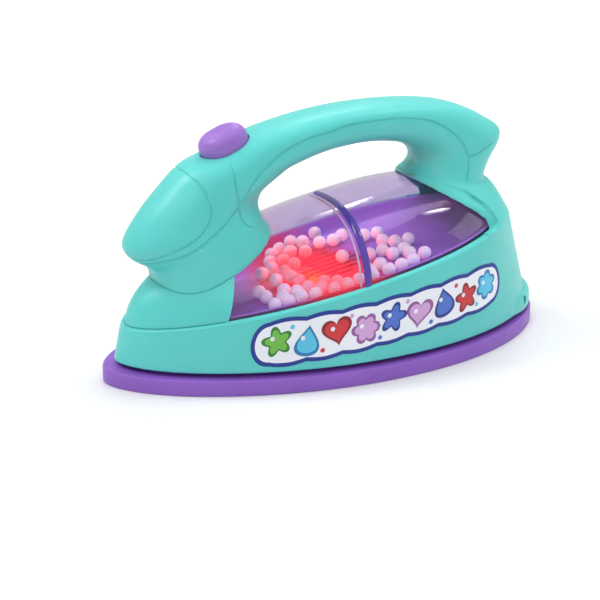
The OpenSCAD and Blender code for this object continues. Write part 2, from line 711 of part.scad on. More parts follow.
module contact_plates() {
    color(steel) {
        for (side = [-1, 1])
            translate([bay_x + fit_gap / 4, side * cell_y - contact_h / 2, cell_z - contact_h / 2])
                cube([contact_t, contact_h, contact_h]);
        translate([bay_x + bay_l - contact_t - fit_gap / 4, -cell_y - contact_h / 2, cell_z - contact_h / 2])
            cube([contact_t, 2 * cell_y + contact_h, contact_h]);
    }
}
contact_spring_d = 7;
module contact_spring(x, side, length) {
    translate([x, side * cell_y, cell_z]) rotate([0, 90, 0])
        ring_tube(contact_spring_d, contact_spring_d - 2 * spring_wire, length);
}
module contact_springs() {
    x0 = bay_x + fit_gap / 4 + contact_t;
    x1 = bay_x + bay_l - contact_t - fit_gap / 4;
    color(steel) {
        contact_spring(x0, -1, cell_x - x0);
        contact_spring(cell_x + cell_l, 1, x1 - cell_x - cell_l);
    }
}
hinge_x = bay_x - door_lap;
hinge_z = door_z + door_t / 2;
door_end = bay_x + bay_l + door_lap;
tongue_l = 9;
tongue_w = 12;
pin_d = 1.4;
pin_l = 2.4;
door_w = bay_w + 2 * door_lap;
module door_outline(gap) {
    translate([hinge_x, -door_w / 2 - gap]) square([door_end - hinge_x + gap, door_w + 2 * gap]);
    translate([door_end - over, -tongue_w / 2 - gap]) square([tongue_l + over + gap, tongue_w + 2 * gap]);
}
door_screw_x = door_end + tongue_l / 2;
door_screw_l = 4;
door_head_h = 1.2;
module battery_door() {
    color(purple) difference() {
        union() {
            translate([0, 0, door_z]) linear_extrude(door_t) door_outline(0);
            translate([hinge_x, 0, hinge_z]) rotate([90, 0, 0])
                cylinder(d = door_t, h = door_w, center = true, $fn = round_fn);
            translate([hinge_x, 0, hinge_z]) rotate([90, 0, 0])
                cylinder(d = pin_d, h = door_w + 2 * pin_l, center = true, $fn = round_fn);
        }
        translate([door_screw_x, 0, 0]) cylinder(d = screw_d + 2 * fit_gap, h = toy_h, $fn = round_fn);
        translate([door_screw_x, 0, 0])
            cylinder(d = head_hole_d, h = door_z + door_head_h, $fn = round_fn);
    }
}
module door_screw() {
    color(steel) translate([door_screw_x, 0, door_z]) screw(door_screw_l, door_head_h);
}

// Sole plate with the pedestal, the bay and the screw holes
pedestal_inset = 6.5;
pedestal_tip_inset = 9;
module sole_plate() {
    color(purple) difference() {
        union() {
            linear_extrude(sole_t - sole_edge) polygon(sole_outline(0));
            linear_extrude(sole_t) polygon(sole_outline(sole_edge));
            linear_extrude(pedestal_z) polygon(outline(pedestal_tip_inset - sole_l / 2,
                band_rear - pedestal_inset, sole_w / 2 - pedestal_inset, heel_powers));
        }
        translate([bay_x, -bay_w / 2, -over]) cube([bay_l, bay_w, toy_h]);
        translate([0, 0, -over]) linear_extrude(door_z + door_t + fit_gap + over) door_outline(air_gap);
        translate([hinge_x, 0, hinge_z]) rotate([90, 0, 0])
            cylinder(d = door_t + 2 * air_gap, h = door_w + 2 * air_gap, center = true, $fn = round_fn);
        translate([hinge_x, -door_w / 2 - air_gap, -over])
            translate([-door_t / 2 - air_gap, 0, 0]) cube([door_t, door_w + 2 * air_gap, over + hinge_z]);
        translate([hinge_x, 0, hinge_z]) rotate([90, 0, 0])
            cylinder(d = pin_d + fit_gap, h = door_w + 2 * (pin_l + fit_gap), center = true, $fn = round_fn);
        translate([door_screw_x, 0, 0]) cylinder(d = screw_d + 2 * over, h = sole_t, $fn = round_fn);
        for (side = [-1, 1]) at_posts(side) {
            translate([0, 0, -over]) cylinder(d = screw_d + fit_gap, h = toy_h, $fn = round_fn);
            translate([0, 0, -over])
                cylinder(d = head_hole_d, h = sole_sink + screw_head_h + over, $fn = round_fn);
        }
    }
}
module sole_screws() {
    color(steel) for (side = [-1, 1]) at_posts(side) translate([0, 0, sole_sink])
        screw(sole_screw_l, screw_head_h);
}

// Leads: round tubes along routes chosen by hand, in millimetres
lead_d = 1.5;
lead_sides = 8;
supply_route = [[24, -12, 19.8], [14, -16, 20], [0, -22, 20], [-20, -23, 18], [-42, -14, 17],
    [-58, -7, 19], [-63, -5, 27], [-61, -5, 36], [-56, -5, 44], [-48, -5, 52],
    [-38, -4, 60], [-34, -4, 65], [-36, -4, 70]];
switched_route = [[-36, 4, 70], [-34, 4, 65], [-38, 4, 60], [-48, 5, 52], [-56, 5, 44], [-61, 5, 36],
    [-63, 5, 27], [-58, 7, 19], [-44, 14, 16], [-26, 20, 15], [-16, 17, 15], [-13.5, 8, 15]];
motor_route = [[24, 12, 19.8], [14, 17, 20], [6, 18, 20], [1, 15, 20], [1, 13.3, 20]];
lamp_route = [[-12, -12, 25.6], [-10, -12, 23], [-8, -11, 21]];
function unit(v) = v / norm(v);
function tangent(route, i) = unit(route[min(i + 1, len(route) - 1)] - route[max(i - 1, 0)]);
function tube_ring(centre, along, radius) = let (
    side = unit(cross(along, abs(along[2]) < 0.9 ? [0, 0, 1] : [0, 1, 0])),
    up = cross(side, along))
    [for (i = [0 : lead_sides - 1]) let (t = i * 360 / lead_sides)
    centre + radius * (side * cos(t) + up * sin(t))];
module lead(route) {
    skin([for (i = [len(route) - 1 : -1 : 0]) tube_ring(route[i], tangent(route, i), lead_d / 2)]);
}
module lead_supply() { color("firebrick") lead(supply_route); }
module lead_switched() { color("goldenrod") lead(switched_route); }
module lead_motor() { color("#222222") lead(motor_route); }
module lead_lamp() { color("goldenrod") lead(lamp_route); }

// Side labels: thin bare plates on the band, between two turns of its outline from tip to heel
label_from_turn = 56;
label_to_turn = 131;
label_low_share = 0.2;
label_high_share = 0.82;
label_t = 0.3;
label_steps = 16;
function side_point(turn, front, rear, hw, side, powers) = turn < 90
    ? [bow_x(front, turn), side * hw * pow(sin(turn), 2 / bow_powers[1])]
    : [heel_x(rear, 180 - turn, powers), side * hw * pow(sin(180 - turn), 2 / powers[1])];
function band_point(turn, s, off, side) = let (
    low = side_point(turn, band_front, band_rear, band_hw, side, heel_powers),
    high = side_point(turn, rim_front, rim_rear, rim_hw, side, rim_heel_powers))
    [low[0] + s * (high[0] - low[0]), low[1] + s * (high[1] - low[1]) + side * off,
    band_z + s * (rim_z(high[0]) - band_z)];
module label(side) {
    rings = [for (i = [0 : label_steps]) let (
        turn = label_from_turn + (label_to_turn - label_from_turn) * i / label_steps)
        [band_point(turn, label_low_share, fit_gap, side), band_point(turn, label_high_share, fit_gap, side),
        band_point(turn, label_high_share, fit_gap + label_t, side),
        band_point(turn, label_low_share, fit_gap + label_t, side)]];
    color("white") skin(side < 0 ? rings : [for (r = rings) [for (i = [3 : -1 : 0]) r[i]]]);
}
module label_left() { label(-1); }
module label_right() { label(1); }

sole_plate();
sole_screws();
housing_left();
housing_right();
nose_cap();
housing_screws();
dome();
dome_strip();
ball_tray();
foam_balls_front();
foam_balls_rear();
button();
button_spring();
switch_plate();
switch_body();
switch_plunger();
motor_mount();
motor_can();
motor_shaft();
fan();
led();
led_board();
battery_box();
cell_left();
cell_right();
contact_plates();
contact_springs();
battery_door();
door_screw();
lead_supply();
lead_switched();
lead_motor();
lead_lamp();
label_left();
label_right();
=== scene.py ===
# %% [markdown]
# # A toy iron with a ball chamber
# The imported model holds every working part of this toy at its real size. This lesson dresses it: smooth
# moulded shells, a clear dome, foam balls, a glowing lamp and printed labels, all in the model's own frame.
# The frame is loaded first, so that each new piece can be set where its solid is.

# %% Frame
import math
from contextlib import contextmanager

import bpy
import numpy as np
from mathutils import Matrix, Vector
from mathutils.bvhtree import BVHTree


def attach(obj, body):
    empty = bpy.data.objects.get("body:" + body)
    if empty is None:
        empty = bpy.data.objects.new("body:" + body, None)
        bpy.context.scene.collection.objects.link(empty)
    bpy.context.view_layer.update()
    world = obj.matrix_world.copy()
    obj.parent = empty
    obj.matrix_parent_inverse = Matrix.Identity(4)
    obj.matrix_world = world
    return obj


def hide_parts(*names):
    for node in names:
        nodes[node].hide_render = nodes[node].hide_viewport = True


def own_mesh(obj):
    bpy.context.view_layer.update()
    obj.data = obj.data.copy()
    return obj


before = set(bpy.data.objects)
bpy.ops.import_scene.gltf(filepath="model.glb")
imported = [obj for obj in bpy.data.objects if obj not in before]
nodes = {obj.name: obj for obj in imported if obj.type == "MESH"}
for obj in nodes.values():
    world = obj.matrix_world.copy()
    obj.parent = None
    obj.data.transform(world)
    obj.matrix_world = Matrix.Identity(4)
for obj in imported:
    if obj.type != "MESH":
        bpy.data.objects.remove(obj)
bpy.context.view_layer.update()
MM = 0.001
print("solids loaded:", len(nodes))

# %% [markdown]
# ## Camera
# The camera stands where the photograph was taken: a little above the toy, to the left of its tip. Its place
# was worked out from the sole's outline. A long lens keeps the toy's sides almost parallel.

# %% Camera
photo_size = 600
photo_focal = 1760.5
sensor_width = 36
eye = Vector((-300.6, -592, 257.5)) * MM
aim = Vector((-11.87, 0, 20.64)) * MM
view_turn = (aim - eye).to_track_quat("-Z", "Y")
bpy.ops.object.camera_add(location=eye, rotation=view_turn.to_euler())
camera = bpy.context.object
camera.data.sensor_width = sensor_width
camera.data.lens = sensor_width * photo_focal / photo_size
bpy.context.scene.camera = camera
bpy.context.scene.view_settings.view_transform = "Standard"
print("lens in mm:", round(camera.data.lens, 1))


def photo_ray(pixel):
    """The way from the camera through a pixel of the photograph"""
    x, y = pixel
    return view_turn @ Vector(((x - photo_size / 2) / photo_focal, (photo_size / 2 - y) / photo_focal, -1))

# %% [markdown]
# ## Helpers for finishes
# Every finish starts from one shader and a few textures in object coordinates, so that a pattern stays on
# its piece. By hand one drags links between nodes; here each helper adds a node and links it in one line.

# %% Finish helpers
def finish(name):
    """A new material with its node tree and its main shader"""
    material = bpy.data.materials.new(name)
    material.use_nodes = True
    return material, material.node_tree, material.node_tree.nodes["Principled BSDF"]


def give(tree, socket, value):
    """Link an input to another socket, or set it to a plain value"""
    if isinstance(value, bpy.types.NodeSocket):
        tree.links.new(value, socket)
    else:
        socket.default_value = value


def feed(tree, node, **values):
    """Give a node's named inputs their values"""
    for label, value in values.items():
        give(tree, node.inputs[label.replace("_", " ")], value)
    return node


def add(tree, kind, **values):
    """A new node with its named inputs"""
    return feed(tree, tree.nodes.new(kind), **values)


def calc(tree, operation, first, second, kind="ShaderNodeMath"):
    """One step of arithmetic on two values"""
    made = tree.nodes.new(kind)
    made.operation = operation
    give(tree, made.inputs[0], first)
    give(tree, made.inputs[1], second)
    return made.outputs["Value"]


def object_place(tree):
    """Coordinates that stay on the piece"""
    return tree.nodes.new("ShaderNodeTexCoord").outputs["Object"]


def distance(tree, place, spot=(0, 0, 0)):
    """How far a place is from a spot"""
    return calc(tree, "DISTANCE", place, spot, "ShaderNodeVectorMath")


def noise(tree, scale, detail):
    """A cloudy pattern on the piece"""
    return add(tree, "ShaderNodeTexNoise", Vector=object_place(tree), Scale=scale, Detail=detail).outputs["Fac"]


def spread_values(tree, value, low, high, to_low, to_high):
    """Map a value from one range to another, clamped"""
    return add(tree, "ShaderNodeMapRange", Value=value, From_Min=low, From_Max=high, To_Min=to_low,
               To_Max=to_high).outputs["Result"]


def faded(tree, value, reach, start):
    """A value that falls softly from its start to 0 at the given reach"""
    made = add(tree, "ShaderNodeMapRange", Value=value, From_Max=reach, To_Min=start, To_Max=0)
    made.interpolation_type = "SMOOTHERSTEP"
    return made.outputs["Result"]


def bumped(tree, height, strength, deep):
    """A normal that follows a pattern's height"""
    return add(tree, "ShaderNodeBump", Height=height, Strength=strength, Distance=deep).outputs["Normal"]


def mixed(tree, factor, first, second):
    """Blend two colours"""
    made = tree.nodes.new("ShaderNodeMix")
    made.data_type = "RGBA"
    return feed(tree, made, Factor=factor, A=first, B=second).outputs["Result"]


def new_group(name, inputs, outputs):
    """An empty node group with named sockets; inputs carry their first values"""
    group = bpy.data.node_groups.new(name, "ShaderNodeTree")
    for label, value in inputs.items():
        kind = "NodeSocketColor" if isinstance(value, tuple) else "NodeSocketFloat"
        group.interface.new_socket(name=label, in_out="INPUT", socket_type=kind).default_value = value
    for label, kind in outputs.items():
        group.interface.new_socket(name=label, in_out="OUTPUT", socket_type=kind)
    return group, group.nodes.new("NodeGroupInput").outputs, group.nodes.new("NodeGroupOutput")


def grouped(tree, group):
    """A node group used in a finish"""
    made = tree.nodes.new("ShaderNodeGroup")
    made.node_tree = group
    return made


print("finish helpers ready for Blender", bpy.app.version_string)

# %% [markdown]
# ## Studio
# The toy stands on a plain pale table in soft light. A big key light from the upper left lights the near side,
# a weaker one the heel and a third the toy from above. These would blot the dome, so gloss doesn't show them.
# A small light gives the nose its sheen, and two panels that fade to their edges, one behind and one over the
# heel, draw soft streaks on the dome. Table and sky look white, and greyer in reflections.

# %% Studio lights
def facing(place):
    """A turn towards the middle of the toy"""
    return (Vector((0, 0, 0.04)) - Vector(place)).to_track_quat("-Z", "Y").to_euler()


def soft_light(name, place, size, watts, in_gloss=False):
    """A square light that looks at the toy"""
    bpy.ops.object.light_add(type="AREA", location=place, rotation=facing(place))
    light = bpy.context.object
    light.name, light.visible_glossy = name, in_gloss
    light.data.size, light.data.energy = size, watts


def fading_panel(name, place, size, glow):
    """A bright panel that looks at the toy and fades to its edges"""
    bpy.ops.mesh.primitive_plane_add(size=1, location=place, rotation=facing(place))
    panel = bpy.context.object
    panel.name, panel.scale = name, (*size, 1)
    material, tree, shader = finish(name)
    feed(tree, shader, Base_Color=(0, 0, 0, 1), Emission_Color=(1, 1, 1, 1),
         Emission_Strength=faded(tree, distance(tree, object_place(tree)), 0.5, glow))
    panel.data.materials.append(material)


soft_light("key_light", (-0.65, -0.6, 1.15), 1, 9)
soft_light("heel_fill", (1.0, -0.35, 0.5), 0.6, 3.5)
soft_light("top_soft", (0.35, 0.3, 1.3), 0.8, 8)
soft_light("nose_sheen", (-0.65, 0.4, 1.0), 0.45, 5, in_gloss=True)
fading_panel("back_streak", (0.38, 0.74, 0.87), (0.34, 0.14), 28)
fading_panel("top_streak", (0.65, -0.03, 1.08), (0.1, 0.34), 34)

# %% Sky and table
gloss_share, sky_light = 0.35, 0.42
backdrop_near, backdrop_far, backdrop_glow = 0.1, 0.5, 0.5


def seen_directly(tree):
    """A mask of 1 for what the camera sees directly or through glass, and less in a reflection"""
    path = tree.nodes.new("ShaderNodeLightPath").outputs
    mirrored = calc(tree, "MULTIPLY", path["Is Glossy Ray"], gloss_share)
    direct = calc(tree, "MAXIMUM", path["Is Camera Ray"], mirrored)
    return calc(tree, "MAXIMUM", direct, path["Is Transmission Ray"])


world = bpy.context.scene.world or bpy.data.worlds.new("studio_sky")
bpy.context.scene.world = world
world.use_nodes = True
tree = world.node_tree
feed(tree, tree.nodes["Background"], Color=(1, 1, 1, 1),
     Strength=spread_values(tree, seen_directly(tree), 0, 1, sky_light, 1))

bpy.ops.mesh.primitive_plane_add(size=6)
table = bpy.context.object
table.name = "table"
table_finish, tree, shader = finish("pale_table")
backdrop = spread_values(tree, distance(tree, object_place(tree)), backdrop_near, backdrop_far, 0, backdrop_glow)
feed(tree, shader, Roughness=0.85, Specular_IOR_Level=0.1, Emission_Color=(1, 1, 1, 1),
     Base_Color=mixed(tree, noise(tree, 300, 2), (0.74, 0.745, 0.765, 1), (0.77, 0.775, 0.79, 1)),
     Emission_Strength=calc(tree, "MULTIPLY", seen_directly(tree), backdrop))
table.data.materials.append(table_finish)
print("table is", table.dimensions.x, "m wide")

# %% [markdown]
# ## Plastics
# The effects that all plastics share sit in one group: slow colour drift, lighter worn edges, painted shade that
# darkens grooves and creases, uneven gloss and a fine moulded grain. Each plastic then only names its four colours,
# its gloss and its grain.

# %% Moulded plastic group
plastic_group, given, result = new_group(
    "moulded_plastic",
    {"Colour": (1, 1, 1, 1), "Drift": (1, 1, 1, 1), "Worn": (1, 1, 1, 1), "Groove": (0, 0, 0, 1),
     "Grain Scale": 1400.0, "Grain Depth": 0.1, "Gloss Low": 0.3, "Gloss High": 0.42},
    {"Colour": "NodeSocketColor", "Roughness": "NodeSocketFloat", "Normal": "NodeSocketVector"})
tree = plastic_group
edges = tree.nodes.new("ShaderNodeNewGeometry").outputs["Pointiness"]
coloured = mixed(tree, spread_values(tree, noise(tree, 38, 3), 0.35, 0.65, 0, 1), given["Colour"], given["Drift"])
coloured = mixed(tree, spread_values(tree, edges, 0.53, 0.62, 0, 0.6), coloured, given["Worn"])
# Painted shade: concave creases and grooves, found by the mesh's pointiness, are darkened towards the Groove colour.
coloured = mixed(tree, spread_values(tree, edges, 0.47, 0.38, 0, 0.75), coloured, given["Groove"])
feed(tree, result, Colour=coloured,
     Roughness=spread_values(tree, noise(tree, 160, 4), 0.35, 0.65, given["Gloss Low"], given["Gloss High"]),
     Normal=bumped(tree, noise(tree, given["Grain Scale"], 2), given["Grain Depth"], 0.1 * MM))
print("plastic group:", len(plastic_group.nodes), "nodes")


def plastic(name, colour, drift, worn, groove, gloss=(0.3, 0.42), grain=(1400, 0.1)):
    """A moulded plastic; colours are linear red, green and blue; the last of its four colours is painted shade for
    its grooves and creases
    """
    material, tree, shader = finish(name)
    skin = feed(tree, grouped(tree, plastic_group), Colour=(*colour, 1), Drift=(*drift, 1), Worn=(*worn, 1),
                Groove=(*groove, 1), Gloss_Low=gloss[0], Gloss_High=gloss[1], Grain_Scale=grain[0],
                Grain_Depth=grain[1]).outputs
    feed(tree, shader, Base_Color=skin["Colour"], Roughness=skin["Roughness"], Normal=skin["Normal"])
    return material

# %% Plastics
# The last colour of each plastic is painted shade, which darkens its grooves and creases.
teal_shell = plastic("teal_shell", (0.095, 0.57, 0.53), (0.088, 0.54, 0.51), (0.2, 0.68, 0.65),
                     (0.045, 0.36, 0.37), gloss=(0.32, 0.42))
purple_sole = plastic("purple_sole", (0.26, 0.1, 0.52), (0.24, 0.092, 0.48), (0.44, 0.26, 0.76),
                      (0.07, 0.03, 0.19), gloss=(0.36, 0.48))
purple_button = plastic("purple_button", (0.3, 0.15, 0.54), (0.28, 0.135, 0.51), (0.42, 0.26, 0.68),
                        (0.12, 0.05, 0.26), gloss=(0.3, 0.4))
dark_strip = plastic("dark_strip", (0.075, 0.03, 0.33), (0.06, 0.022, 0.28), (0.2, 0.12, 0.55),
                     (0.02, 0.01, 0.1), gloss=(0.1, 0.18), grain=(500, 0.05))
pale_rib = plastic("pale_rib", (0.52, 0.34, 0.52), (0.47, 0.3, 0.48), (0.66, 0.5, 0.68),
                   (0.3, 0.18, 0.32), gloss=(0.12, 0.2), grain=(500, 0.05))
black_plastic = plastic("black_plastic", (0.03, 0.03, 0.034), (0.022, 0.022, 0.026), (0.09, 0.09, 0.1),
                        (0.01, 0.01, 0.01), gloss=(0.4, 0.55))
white_plastic = plastic("white_plastic", (0.76, 0.74, 0.8), (0.7, 0.69, 0.76), (0.85, 0.85, 0.88),
                        (0.45, 0.43, 0.5), gloss=(0.35, 0.45))
print("plastics made from the group:", plastic_group.users)

# %% [markdown]
# ## Helpers for shapes
# The big shells are lofts: one outline carried along a path. By hand one would push the points of a grid
# onto a form; here a grid primitive is added and its points are laid by a formula, its seam is merged and its
# ends are closed. Cutting is done with solid tools, as a maker cuts foam.

# %% Shape helpers
def alone(piece):
    """Select one piece only, because an operator acts on all that is selected"""
    bpy.ops.object.select_all(action="DESELECT")
    piece.select_set(True)
    bpy.context.view_layer.objects.active = piece


@contextmanager
def editing(piece):
    """Edit mode with all of one piece selected, and back again"""
    alone(piece)
    bpy.ops.object.mode_set(mode="EDIT")
    bpy.ops.mesh.select_all(action="SELECT")
    yield
    bpy.ops.object.mode_set(mode="OBJECT")


def closed(piece):
    """Merge the seam, fill the ends and turn the faces outwards"""
    with editing(piece):
        bpy.ops.mesh.remove_doubles(threshold=MM / 1000)
        bpy.ops.mesh.fill_holes(sides=0)
        bpy.ops.mesh.select_all(action="SELECT")
        bpy.ops.mesh.normals_make_consistent(inside=False)
    return piece


def step_of(share, steps):
    """The number of a grid line, from its share of the way"""
    return np.rint(share * steps).astype(int)


def laid_grid(name, columns, rows, form):
    """A closed loft: form takes shares across and along, and gives x, y and z in millimetres"""
    bpy.ops.object.select_all(action="DESELECT")
    bpy.ops.mesh.primitive_grid_add(x_subdivisions=columns, y_subdivisions=rows, size=1)
    piece = bpy.context.object
    piece.name = name
    across, along = np.meshgrid(np.linspace(0, 1, columns + 1), np.linspace(0, 1, rows + 1))
    points = np.stack(form(across.ravel(), along.ravel()), axis=1) * MM
    piece.data.vertices.foreach_set("co", points.ravel())
    return closed(piece)


def ringed(name, columns, levels, ring):
    """A closed loft of rings: ring takes shares round it and the values of its level, and gives x, y and z"""
    levels = np.array(levels, float)
    return laid_grid(name, columns, len(levels) - 1,
                     lambda across, along: ring(across, *levels[step_of(along, len(levels) - 1)].T))


def carve(piece, tool, operation="DIFFERENCE"):
    """Cut a piece with a solid tool, which is used up; other operations unite or keep what is shared"""
    alone(piece)
    cut = piece.modifiers.new("cut", "BOOLEAN")
    cut.operation, cut.solver, cut.object = operation, "MANIFOLD", tool
    bpy.ops.object.modifier_apply(modifier=cut.name)
    bpy.data.objects.remove(tool)


def twin(piece, name):
    """A copy with its own mesh"""
    copy = piece.copy()
    copy.data = piece.data.copy()
    copy.name = name
    bpy.context.collection.objects.link(copy)
    return copy


def joined(pieces):
    """One object out of several"""
    alone(pieces[0])
    for piece in pieces[1:]:
        piece.select_set(True)
    bpy.ops.object.join()
    return pieces[0]


def block(low, high):
    """A box tool between two corners in millimetres"""
    low, high = Vector(low) * MM, Vector(high) * MM
    bpy.ops.mesh.primitive_cube_add(size=1, location=(low + high) / 2, scale=high - low)
    bpy.ops.object.transform_apply()
    return bpy.context.object


def rod(start, end, diameter):
    """A round bar tool between two points in millimetres"""
    start, end = Vector(start) * MM, Vector(end) * MM
    turn = (end - start).to_track_quat("Z", "Y").to_euler()
    bpy.ops.mesh.primitive_cylinder_add(vertices=48, radius=diameter / 2 * MM, depth=(end - start).length,
                                        location=(start + end) / 2, rotation=turn)
    bpy.ops.object.transform_apply()
    return bpy.context.object


def dress(piece, *materials):
    """Give a piece its finishes"""
    piece.data.materials.clear()
    for material in materials:
        piece.data.materials.append(material)


def finished(piece, body, slot, materials, *replaced, angle=35):
    """Shade a piece, give it its finish and hand it to its body"""
    alone(piece)
    bpy.ops.object.shade_smooth_by_angle(angle=math.radians(angle))
    dress(piece, *materials)
    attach(piece, body)
    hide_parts(*replaced)
    print(piece.name, "has", len(piece.data.polygons), "faces")


print("shapes are laid in millimetres, times", MM)

# %% [markdown]
# ## The toy's main curves
# Seen from above, sole, band and dome share one family of outlines, rounder at the heel than at the tip.
# The rim climbs towards the heel. The dome and the bulge in front of it are one bubble over that rim. These
# formulas repeat the solids' own sizes, so that the smooth shells lie on them. Only handle and collar follow the
# photograph more closely, and stand up to 4.5 mm off their solids.

# %% Outlines
sole_l, sole_w, toy_h, handle_w = 190, 91.6, 98.5, 26
wide_x = 0.004 * sole_l
bow_powers = (1.79, 1.69)
heel_powers, rim_heel_powers, dome_heel_powers = (2.25, 1.53), (2.8, 1.9), (2.7, 1.85)
sole_lines = (-sole_l / 2, sole_l / 2, sole_w / 2, heel_powers)
band_z, rim_mid_z, rim_tilt, rim_turn_x, rim_turn_r = 8.2, 37.8, math.radians(10.4), 0.33 * sole_l, 42
band_lines = (-90.2, 92.8, 43.6, heel_powers)
rim_lines = (-87.2, 79.3, 42, rim_heel_powers)
wall = 2.2


def inset_lines(lines, inset):
    """An outline moved inwards"""
    front, rear, half, powers = lines
    return front + inset, rear - inset, half - inset, powers


def plan(turn, lines):
    """A point of an outline: turn goes from the tip along the near side to the heel and back, 0 to 1"""
    front, rear, half, powers = lines
    swing = np.pi * (1 - np.abs(1 - 2 * turn))
    side = np.where(turn <= 0.5, -1, 1)
    bow = swing <= np.pi / 2
    c, s = np.abs(np.cos(swing)), np.abs(np.sin(swing))
    x = np.where(bow, wide_x - (wide_x - front) * c ** (2 / bow_powers[0]),
                 wide_x + (rear - wide_x) * c ** (2 / powers[0]))
    y = half * np.where(bow, s ** (2 / bow_powers[1]), s ** (2 / powers[1]))
    return x, side * y


def falling(x, middle, end, power):
    """A share that falls from 1 at the middle to 0 at an end"""
    return np.clip(1 - np.clip((x - middle) / (end - middle), 0, None) ** power, 0, 1)


def half_width(x, lines):
    """Half the width of an outline at x"""
    front, rear, half, powers = lines
    bow = falling(x, wide_x, front, bow_powers[0]) ** (1 / bow_powers[1])
    heel = falling(x, wide_x, rear, powers[0]) ** (1 / powers[1])
    return half * np.where(x < wide_x, bow, heel)


def rim_z(x):
    """Height of the rim"""
    return rim_mid_z + math.tan(rim_tilt) * x - np.clip(x - rim_turn_x, 0, None) ** 2 / (2 * rim_turn_r)


print("rim height at tip and heel in mm:", rim_z(np.array(band_lines[:2])).round(1))

# %% Bubble
bubble_lines = (-85.4, 76.6, 39.9, dome_heel_powers)
crest_x, crest_top, crest_powers, side_powers = 0.026 * sole_l, 24.2, (3, 2.2), (2.39, 1.49)
window_x, window_lean, lean_reach = -0.289 * sole_l, 0.36, 0.16 * sole_l
dome_seat, dome_wall = 3, 1.6


def crest(x, inset):
    """Height of the bubble's ridge over the rim"""
    ahead = falling(x, crest_x, bubble_lines[0] + inset, crest_powers[0])
    behind = falling(x, crest_x, bubble_lines[1] - inset, crest_powers[1])
    return (crest_top - inset) * np.sqrt(np.where(x < crest_x, ahead, behind))


def bubble(x, lean, swing, inset):
    """A point of the bubble: swing goes from the near rim over the ridge to the far rim, 0 to pi"""
    def height(at):
        return rim_z(at) + crest(at, inset) * np.abs(np.sin(swing)) ** (2 / side_powers[1])
    leaned = x + lean * (height(x + lean * (height(x) - rim_z(x))) - rim_z(x))
    c = np.cos(swing)
    y = -np.sign(c) * half_width(leaned, inset_lines(bubble_lines, inset)) * np.abs(c) ** (2 / side_powers[0])
    return leaned, y, height(leaned)


def station_lean(x):
    """The bubble's cross lines lean back near the window"""
    ramp = np.clip((x - bubble_lines[0]) / (window_x - bubble_lines[0]), 0, 1)
    return window_lean * np.exp(-((x - window_x) / lean_reach) ** 2) * ramp


def bubble_form(name, from_x, to_x, inset, depth, stations=72, arc=72):
    """A solid under the bubble between two stations, with a straight skirt below the rim"""
    def form(across, along):
        x = from_x + (to_x - from_x) * (1 - np.cos(np.pi * along)) / 2
        column = step_of(across, arc + 3) % (arc + 3)
        px, py, pz = bubble(x, station_lean(x), np.pi * np.clip((column - 1) / arc, 0, 1), inset)
        skirt = (column == 0) | (column == arc + 2)
        return px, py, np.where(skirt, rim_z(x) - depth, pz)
    return laid_grid(name, arc + 3, stations, form)


print("top of the bubble in mm:", round(float(rim_z(crest_x) + crest(crest_x, 0)), 1))

# %% [markdown]
# ## Housing
# The real housing is two thin moulded halves. The collar grows out of the handle in a soft fillet, which
# bevels can't follow, so these two are joined, rebuilt as one skin of small faces and relaxed. The collar's
# front edge follows a few pixels of the photograph, traced from the camera onto its skin. Foot, bulge and rim
# meet in sharp creases, so they are only united. Then the skin is hollowed.

# %% Band form
rim_round, band_round = 0.9, 0.5
quarter = np.radians(np.arange(0, 91, 15))


def band_spot(turn, share, inset=0, low=0, high=0):
    """A point of the band's wall: share goes from its foot to the rim, 0 to 1, and on past it"""
    foot = np.stack([*plan(turn, inset_lines(band_lines, inset)), np.full_like(turn, band_z - low)])
    rim_x, rim_y = plan(turn, inset_lines(rim_lines, inset))
    return foot + share * (np.stack([rim_x, rim_y, rim_z(rim_x) + high]) - foot)


def band_form(name, inset=0, low=0, high=0, rounded=True):
    """The slanting band as a solid, from its foot to the rim"""
    levels = [(k / 8, 0, 0) for k in range(9)]
    if rounded:
        foot = [(0, band_round * (1 - math.sin(a)), band_round * (1 - math.cos(a))) for a in quarter]
        lip = [(1, rim_round * (1 - math.cos(a)), rim_round * (math.sin(a) - 1)) for a in quarter]
        levels = foot + levels[1:-1] + lip

    def ring(turn, share, pull, lift):
        x, y, z = band_spot(turn, share, inset + pull, low, high)
        return x, y, z + lift
    return ringed(name, 240, levels, ring)


print("band's near side at half height in mm:", band_spot(np.array(0.25), 0.5).round(1))

